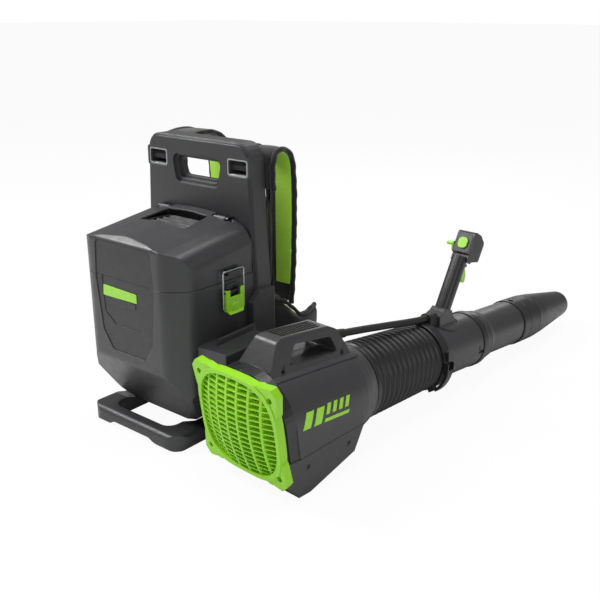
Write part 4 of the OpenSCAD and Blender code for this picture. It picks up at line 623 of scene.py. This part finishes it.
def turned(y, r, count=96):
    """Outline of Y and radius turned about the fan's axis: (r cos a, y, r sin a)."""
    a = 2 * np.pi * np.arange(count) / count
    rings = np.stack([r[:, None] * np.cos(a), np.broadcast_to(y[:, None], (len(y), count)),
                      r[:, None] * np.sin(a)], -1)
    return on_fan(rings)


def hose_half(name, y0, y1, steps):
    """Outside from y0 to y1, then the inside, one wall thinner, back to y0, and closed."""
    y = np.linspace(y0, y1, steps)
    outline_r = np.concatenate([hose_radius(y), hose_radius(y[::-1]) - HOSE_WALL])
    return ring_skin(name, turned(np.concatenate([y, y[::-1]]), outline_r), flipped=True)


for name, y0, y1, bodies, ends in (
        ("hose_rear_half", HOSE_Y0, split_y, ("pack", "hose_run"), (BEND_START, split_y - BEND_GAP)),
        ("hose_front_half", split_y, HOSE_Y1, ("hose_run", "tube"), (split_y + BEND_GAP, BEND_END))):
    mesh = hose_half(name, y0, y1, int((y1 - y0) / pitch * STEPS_A_RIB))
    made = piece(mesh, HOSE_RUBBER, None, sharp=70)
    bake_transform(made)
    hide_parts("hose")

# %% [markdown]
# ## Padded cloth
# Foam in a sewn cover swells between its seams. A pad starts as a slightly small block,
# is remeshed into even faces, and Cloth blows it up under pressure. How far a point may
# move is capped, so that the pad keeps its size. Channels and seams are pressed in last.

# %% Blow a pad up
def settled(made):
    """Freezes what the modifiers make into the piece's own mesh, and clears them."""
    graph = bpy.context.evaluated_depsgraph_get()
    graph.update()
    mesh = bpy.data.meshes.new_from_object(made.evaluated_get(graph))
    mesh.name = made.name
    made.modifiers.clear()
    made.data = mesh


def points_of(mesh):
    """All vertices as an array."""
    flat = np.empty(len(mesh.vertices) * 3)
    mesh.vertices.foreach_get("co", flat)
    return flat.reshape(-1, 3)


def move_points(mesh, points):
    """Puts the vertices where the array says."""
    mesh.vertices.foreach_set("co", points.ravel())
    mesh.update()


CLOTH_FRAMES = 20
PRESSURE = 4.0


def puffed(made, voxel, cap):
    """Remeshes, blows up, and moves each point by d min(1, cap / |d|), d what Cloth gives."""
    remesh = made.modifiers.new("even_faces", "REMESH")
    remesh.mode, remesh.voxel_size = "VOXEL", voxel
    settled(made)
    start = points_of(made.data)
    cloth = made.modifiers.new("pressure", "CLOTH")
    cloth.settings.use_pressure = True
    cloth.settings.uniform_pressure_force = PRESSURE
    cloth.settings.effector_weights.gravity = 0
    cloth.settings.quality = 4
    for count in range(1, CLOTH_FRAMES + 1):
        scene.frame_set(count)
    settled(made)
    move = points_of(made.data) - start
    far = np.linalg.norm(move, axis=1, keepdims=True)
    move_points(made.data, start + move * np.minimum(1, cap / np.maximum(far, 1e-9)))
    scene.frame_set(1)


def waves(points, seed, size, amount):
    """Soft unevenness: a sum of six sine waves in seeded directions, about `size` long."""
    rng = np.random.default_rng(seed)
    k = rng.normal(size=(6, 3))
    k *= 2 * np.pi / (size * np.linalg.norm(k, axis=1, keepdims=True) * rng.uniform(0.7, 1.5, (6, 1)))
    return amount * np.sin(points @ k.T + rng.uniform(0, 6.28, 6)).mean(1)


# %% [markdown]
# ### Back pad and lumbar pad
# Two air-mesh pads on the front of the plate, split by upright channels that let air pass.
# Each is a crowned block whose thickness falls to the edges. A channel is a narrow valley
# pressed in afterwards, and a shallower one runs round the pad inside its hem.

# %% Pads on the plate
PLATE_FRONT = 0.0403
CHANNEL_HALF, CHANNEL_SHARE = 0.006, 0.55
HEM_IN, HEM_HALF, HEM_SHARE = 0.012, 0.003, 0.28
BLOCK_INSET = 0.004


def crowned_block(name, half, z0, z1, thick):
    """Rings across X; in each, a flat back and a front of height (1-|u|^4)^0.3 (1-|v|^5)^0.5."""
    u = np.linspace(-1, 1, 49)
    v = np.linspace(-1, 1, 33)
    edge = np.clip(1 - np.abs(u) ** 4, 0, 1)[:, None] ** 0.3
    x = (half - BLOCK_INSET) * u[:, None] + 0 * v
    rise = ((z1 - z0) / 2 - BLOCK_INSET) * (0.93 + 0.07 * edge)
    z = (z0 + z1) / 2 + rise * v
    depth = 0.004 + (thick - 0.006) * edge * np.clip(1 - np.abs(v) ** 5, 0, 1) ** 0.5
    front = np.stack([x, PLATE_FRONT + depth, z], -1)
    back = np.stack([x, PLATE_FRONT + 0 * depth, z], -1)
    return shell(name, np.concatenate([front, back[:, ::-1]], axis=1))


def air_pad(name, half, z0, z1, thick, channel_x, node):
    """A blown block, its height h lowered to h (1 - share e^-(d/half)^2) at channels and hem."""
    made = piece(crowned_block(name, half, z0, z1, thick), PAD_MESH, None)
    puffed(made, 0.005, 0.006)
    co = points_of(made.data)
    height = co[:, 1] - PLATE_FRONT
    near = np.abs(co[:, None, 0] - np.array([-channel_x, channel_x])).min(1)
    press = 1 - CHANNEL_SHARE * np.exp(-(near / CHANNEL_HALF) ** 2)
    hem = np.minimum(half - np.abs(co[:, 0]), np.minimum(co[:, 2] - z0, z1 - co[:, 2]))
    press *= 1 - HEM_SHARE * np.exp(-((hem - HEM_IN) / HEM_HALF) ** 2)
    lumps = waves(co, 2, 0.05, 0.0012)
    height = np.where(height > 0.004, height * press + lumps, height)
    co[:, 1] = PLATE_FRONT + np.clip(height, 0, thick)
    co[:, 0] = np.clip(co[:, 0], -half, half)
    co[:, 2] = np.clip(co[:, 2], z0, z1)
    move_points(made.data, co)
    made.data.shade_smooth()
    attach(made, "pack")
    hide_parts(node)


BACK_PAD = (0.146, 0.252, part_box("back_pad")[1][2])
LUMBAR_PAD = (0.108, 0.138, 0.236)
air_pad("back_cushion", *BACK_PAD, 0.027, 0.052, "back_pad")
air_pad("lumbar_cushion", *LUMBAR_PAD, 0.032, 0.036, "lumbar_pad")

# %% [markdown]
# ### Edge tape
# A sewn pad is finished with a folded tape round its edge. The tape is a small rounded
# section carried round a superellipse 2.5 mm inside the pad's outline, near the plate.

# %% Tape round the pads
TAPE_R, TAPE_IN, TAPE_OFF = 0.0026, 0.0025, 0.0045


def tape_round(name, half, z0, z1):
    """Small circle carried round |x/a|^8 + |z/b|^8 = 1; its two directions are out and Y."""
    outline = rounded_section(half, (z1 - z0) / 2, 8, 160)
    line = np.stack([outline[:, 0], np.full(len(outline), PLATE_FRONT + TAPE_OFF),
                     outline[:, 1] + (z0 + z1) / 2], 1)
    ahead = np.roll(line, -1, 0) - np.roll(line, 1, 0)
    ahead /= np.linalg.norm(ahead, axis=1, keepdims=True)
    out = np.cross(ahead, [0, 1, 0])
    c, s = circle(10).T
    rings = line[:, None] + TAPE_R * (out[:, None] * c[:, None] + np.array([0, 1, 0]) * s[:, None])
    return ring_skin(name, rings)


for name, (half, z0, z1) in (("back_cushion_tape", BACK_PAD), ("lumbar_cushion_tape", LUMBAR_PAD)):
    piece(tape_round(name, half - TAPE_IN, z0 + TAPE_IN, z1 - TAPE_IN), FINISH["webbing_black"],
          "pack")

# %% [markdown]
# ### Shoulder straps and hip belts
# A strap is foam in a cover, carried along a path. Every point p of the blown skin is read
# in the frame of its nearest path point q: across = (p - q) . side and high = (p - q) . n.
# Seams are pressed in that frame, which makes them follow every bend.

# %% Routes of the straps and belts
STRAP_X = 0.116
STRAP_HALF, STRAP_TAPER = 0.035, 0.16
STEPS = 8
RIGHT_ROUTE = [[50, 452], [50, 500], [59, 520], [80, 524], [99, 511], [107, 486], [110, 440],
               [110, 370], [110, 300], [109, 262], [106, 216]]
LEFT_ROUTE = [[50, 452], [50, 500], [60, 523], [88, 531], [128, 530], [160, 514], [180, 484],
              [186, 430], [184, 350], [174, 290], [150, 246]]
BELT_ROUTE = [[108.4, 50, 188, 46], [117, 51, 188, 48], [129, 57, 188, 48], [140, 69, 187, 47],
              [148, 84, 184, 44], [153, 98, 177, 37], [156, 120, 167, 27], [153, 147, 166, 26],
              [145, 178, 168, 28]]


def upright_path(x, route):
    """Smooth path through [y, z] points in millimetres, in the upright plane at x."""
    run = smooth_path(np.array(route) / 1000, STEPS)
    return np.column_stack([np.full(len(run), x), run])


def strap_path(x, route):
    """Path of a strap and its half width, which narrows over the last third of the way."""
    path = upright_path(x, route)
    i = np.arange(len(path)) / (len(path) - 1)
    return path, STRAP_HALF * (1 - STRAP_TAPER * np.maximum(0, 3 * i - 2))


def belt_path(s):
    """Smooth path of a hip belt on side s, and its half height at each point."""
    run = smooth_path(np.array(BELT_ROUTE) / 1000, STEPS)
    return run[:, :3] * [s, 1, 1], run[:, 3]


def walked(path):
    """Distance along a path, from 0 at its first point."""
    return np.concatenate([[0], np.cumsum(np.linalg.norm(np.diff(path, axis=0), axis=1))])


def frame_of(path, side):
    """Heading, and n = heading x side made a unit, at each point of a path."""
    ahead = headings(path)
    n = np.cross(ahead, side)
    return ahead, n / np.linalg.norm(n, axis=1, keepdims=True)


def read_in(points, path, side, ahead, n):
    """Nearest path point of each point, and how far across, high and ahead of it that lies."""
    d = points[:, None] - path[None]
    flat = d - (d @ side)[..., None] * side
    k = np.linalg.norm(flat, axis=2).argmin(1)
    d = d[np.arange(len(points)), k]
    return k, d @ side, np.einsum("ij,ij->i", d, n[k]), np.einsum("ij,ij->i", d, ahead[k])


print("right strap is", round(float(walked(upright_path(0, RIGHT_ROUTE))[-1]), 3), "m")

# %% [markdown]
# A strap gets three parts. The cover is blown up and pressed along two seams. The lime
# mesh lies on the wearer's side, at the height the cover has there, so it swells with it.
# A tape folded over each edge binds the two.

# %% Padded band, its mesh panel and its edge tapes
SEAM_AT, SEAM_HALF, SEAM_SHARE = 0.80, 0.003, 0.40
PANEL_BLUR, PANEL_UP, PANEL_DOWN = 0.008, 0.0020, 0.0012


def padded_band(name, path, side, half, thick, node, seed, ends, across_share=(-0.8, 0.8)):
    """Blown cover along a path, a lime panel on its +n side and tape along both edges.

    The panel runs between two shares of the path and between two shares of the half width.
    Its height is that of the cover near it: a mean weighted by e^(-d^2 / 2 blur^2).
    """
    side = np.asarray(side, float)
    ahead, n = frame_of(path, side)
    core = rounded_section(1.0, 1.0, 3.0, 30)
    rings = (path[:, None] + side * (core[None, :, 0] * (half - 0.0025)[:, None])[..., None]
             + n[:, None] * (core[None, :, 1] * (0.66 * thick))[..., None])
    cover = piece(shell(name, rings), COVER_CLOTH, None)
    puffed(cover, 0.0042, 0.005)
    co = points_of(cover.data)
    k, across, high, on = read_in(co, path, side, ahead, n)
    share = np.abs(across) / half[k]
    high *= 1 - SEAM_SHARE * np.exp(-((share - SEAM_AT) * half[k] / SEAM_HALF) ** 2)
    high += np.sign(high) * waves(co, seed, 0.06, 0.0011) * (share < 0.75)
    high, across = np.clip(high, -thick, thick), np.clip(across, -half[k], half[k])
    co = path[k] + side * across[:, None] + n[k] * high[:, None] + ahead[k] * on[:, None]
    move_points(cover.data, co)
    cover.data.shade_smooth()
    smoother = cover.modifiers.new("smoother", "SUBSURF")
    smoother.levels = smoother.render_levels = 1

    first, last = (int(round(e * (len(path) - 1))) for e in ends)
    rows = np.arange(first, last + 1)
    u = np.linspace(*across_share, 15)
    spots = path[rows][:, None] + side * (half[rows][:, None] * u)[..., None]
    wearer_side = high > 0.3 * thick
    apart = spots.reshape(-1, 3)[:, None] - co[wearer_side][None]
    pull = np.exp(-(apart ** 2).sum(-1) / (2 * PANEL_BLUR ** 2))
    level = (pull * high[wearer_side]).sum(1) / np.maximum(pull.sum(1), 1e-12)
    level = level.reshape(len(rows), -1)
    top = spots + n[rows][:, None] * (level + PANEL_UP)[..., None]
    low = spots + n[rows][:, None] * (level - PANEL_DOWN)[..., None]
    panel = piece(shell(name + "_mesh", np.concatenate([top, low[:, ::-1]], axis=1)), LIME_MESH,
                  "pack")

    along, tape_section = walked(path), rounded_section(0.0052, 0.0048, 2.6, 16)
    tapes = []
    for edge in (-1, 1):
        ripple = 0.0007 * np.sin(along * 230 + edge) + 0.0004 * np.sin(along * 97 + 2 * edge)
        rings = band(path, side, tape_section, shift=edge * (half * 0.93) + ripple)
        tape = shell(f"{name}_tape_{'ab'[edge > 0]}", rings)
        tapes.append(piece(tape, BINDING, "pack"))
    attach(cover, "pack")
    for made in (cover, panel, *tapes):
        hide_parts(node)


STRAP_THICK, BELT_THICK = 0.0065, 0.008
for name, x, route, node, seed, ends, across_share in (
        ("strap_right", STRAP_X, RIGHT_ROUTE, "shoulder_strap_right", 5, (0.30, 0.91), (-0.22, 0.84)),
        ("strap_left", -STRAP_X, LEFT_ROUTE, "shoulder_strap_left", 6, (0.22, 0.93), (-0.84, 0.22))):
    path, half = strap_path(x, route)
    padded_band(name, path, (1, 0, 0), half, STRAP_THICK, node, seed, ends, across_share)
for side, s, seed in (("right", 1, 7), ("left", -1, 8)):
    path, half = belt_path(s)
    padded_band("belt_" + side, path, (0, 0, -s), half, BELT_THICK, "hip_belt_" + side, seed, (0.3, 0.97))

# %% [markdown]
# ### Webbing
# Flat webbing is a thin rectangle with rounded edges carried along a path. One length runs
# from each strap's foot to the plate. Another is folded round the bar in each slot, a flat
# loop with its two layers apart.

# %% Webbing and the folds in the slots
WEBBING_HALF, FOLD_HALF, WEBBING_HALF_T = 0.019, 0.0208, 0.0011
SLOT_X = 0.106
RIGHT_FOOT = [[99.3, 218], [94, 219], [88, 227], [76, 240], [60, 244], [40.4, 244]]
LEFT_FOOT = [[145, 242], [138, 240], [110, 243], [78, 244], [40.4, 244]]
FOLD = [[42.4, 501.3], [30, 501.3], [15, 501.0], [9.2, 499.4], [7.2, 495], [9.2, 490.6],
        [15, 489.0], [30, 488.7], [42.4, 488.7]]


def webbing(name, x, route, half, node):
    """Flat band of thin rounded section in the upright plane at x."""
    section = rounded_section(half, WEBBING_HALF_T, 6.0, 24)
    made = piece(shell(name, band(upright_path(x, route), (1, 0, 0), section)), WEBBING,
                 "pack", sharp=60)
    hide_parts(node)


webbing("webbing_right", STRAP_X, RIGHT_FOOT, WEBBING_HALF, "strap_webbing")
webbing("webbing_left", -STRAP_X, LEFT_FOOT, WEBBING_HALF, "strap_webbing")
webbing("fold_right", SLOT_X, FOLD, FOLD_HALF, "strap_anchors")
webbing("fold_left", -SLOT_X, FOLD, FOLD_HALF, "strap_anchors")

# %% [markdown]
# ## Small trim
# Plain trim sits where a maker would put a name: a lime plate with a dark tab on the rear
# panel, and a row of slanted lime bars on the fan's side. It carries no words. Each piece
# is an outline given a thickness, laid on its surface.

# %% Name plate left bare, and slanted bars
def plate(name, outline, place, thick, finish, body="pack", bevel=0.0005):
    """Outline in (a, b) given a thickness; place turns (a, b, height) into points."""
    a, b = np.asarray(outline, float).T
    rings = [place(a, b, np.full_like(a, h)) for h in (0.0, thick - bevel)]
    ca, cb = a.mean(), b.mean()
    pull = 1 - bevel / np.hypot(a - ca, b - cb)
    rings.append(place(ca + (a - ca) * pull, cb + (b - cb) * pull, np.full_like(a, thick)))
    piece(shell(name, np.array(rings)), finish, body, sharp=30)


def rounded_outline(corners, radius):
    """Polygon with each corner replaced by a curve p + (1-t)^2 a + t^2 b, a and b its two arms."""
    p = np.asarray(corners, float)
    t = np.linspace(0, 1, 5)[:, None]
    out = []
    for before, here, after in zip(np.roll(p, 1, 0), p, np.roll(p, -1, 0)):
        a = (before - here) / np.linalg.norm(before - here) * radius
        b = (after - here) / np.linalg.norm(after - here) * radius
        out.append(here + (1 - t) ** 2 * a + t ** 2 * b)
    return np.vstack(out)


PANEL_Y, BARREL_R = -0.1868, 0.091
PLATE_CORNERS = [[-0.064, 0.267], [0.030, 0.269], [0.030, 0.286], [-0.062, 0.288]]
TAB_CORNERS = [[-0.012, 0.2555], [0.026, 0.2555], [0.026, 0.2665], [-0.012, 0.2665]]


def on_panel(a, b, h):
    """a to the right, b up, h out of the sunk face of the rear panel."""
    return np.stack([a, PANEL_Y - h, b], -1)


def on_barrel(a, b, h):
    """a along the fan's axis, b round the barrel as an arc length, h out from it."""
    angle = b / BARREL_R
    r = BARREL_R + h
    return on_fan(np.stack([r * np.cos(angle), a, r * np.sin(angle)], -1))


plate("name_plate", rounded_outline(PLATE_CORNERS, 0.002), on_panel, 0.0012,
      FINISH["lime_gloss"])
plate("name_plate_tab", rounded_outline(TAB_CORNERS, 0.002), on_panel, 0.0010,
      FINISH["shell_black"])

BAR_LEAN = 0.4
BIG_BARS = [[y, 0.018, 0.002, 0.030] for y in (0.058, 0.084)]
SMALL_BARS = [[y, 0.009, 0.014, 0.032] for y in (0.114, 0.130, 0.146, 0.162)]
UNDERLINE = [0.110, 0.062, 0.002, 0.008]
share_up = np.linspace(0, 1, 7)[:, None]
for k, (y, width, low, high) in enumerate([*BIG_BARS, *SMALL_BARS, UNDERLINE]):
    rise = (high - low) * share_up
    left = np.hstack([y + BAR_LEAN * rise, low + rise])
    plate(f"side_bar_{k + 1}", np.vstack([left, (left + [width, 0])[::-1]]), on_barrel, 0.0008,
          FINISH["lime_gloss"])

# %% [markdown]
# Each latch lever has a rounded pad under the thumb. It rides on its lever, at a place
# read from the lever's own box, so it turns with it.

# %% Thumb pads on the latch levers
PAD_CORNERS = [[-0.0085, -0.0065], [0.0085, -0.0065], [0.0085, 0.0065], [-0.0085, 0.0065]]
PAD_SUNK, PAD_UP = 0.003, 0.0135


def on_lever(name, side):
    """A place on a lever's outer face: a along Y, b up, h out from it."""
    low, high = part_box("latch_" + name)
    face = (high[0] if side > 0 else low[0]) - side * PAD_SUNK
    middle, height = (low[1] + high[1]) / 2, low[2] + PAD_UP
    return lambda a, b, h: np.stack([face + side * h, middle + a, height + b], -1)


for side, name in ((1, "lever_right"), (-1, "lever_left")):
    plate("thumb_pad_" + name, rounded_outline(PAD_CORNERS, 0.004), on_lever(name, side), 0.0016,
          FINISH["lime_gloss"], body=name, bevel=0.0008)
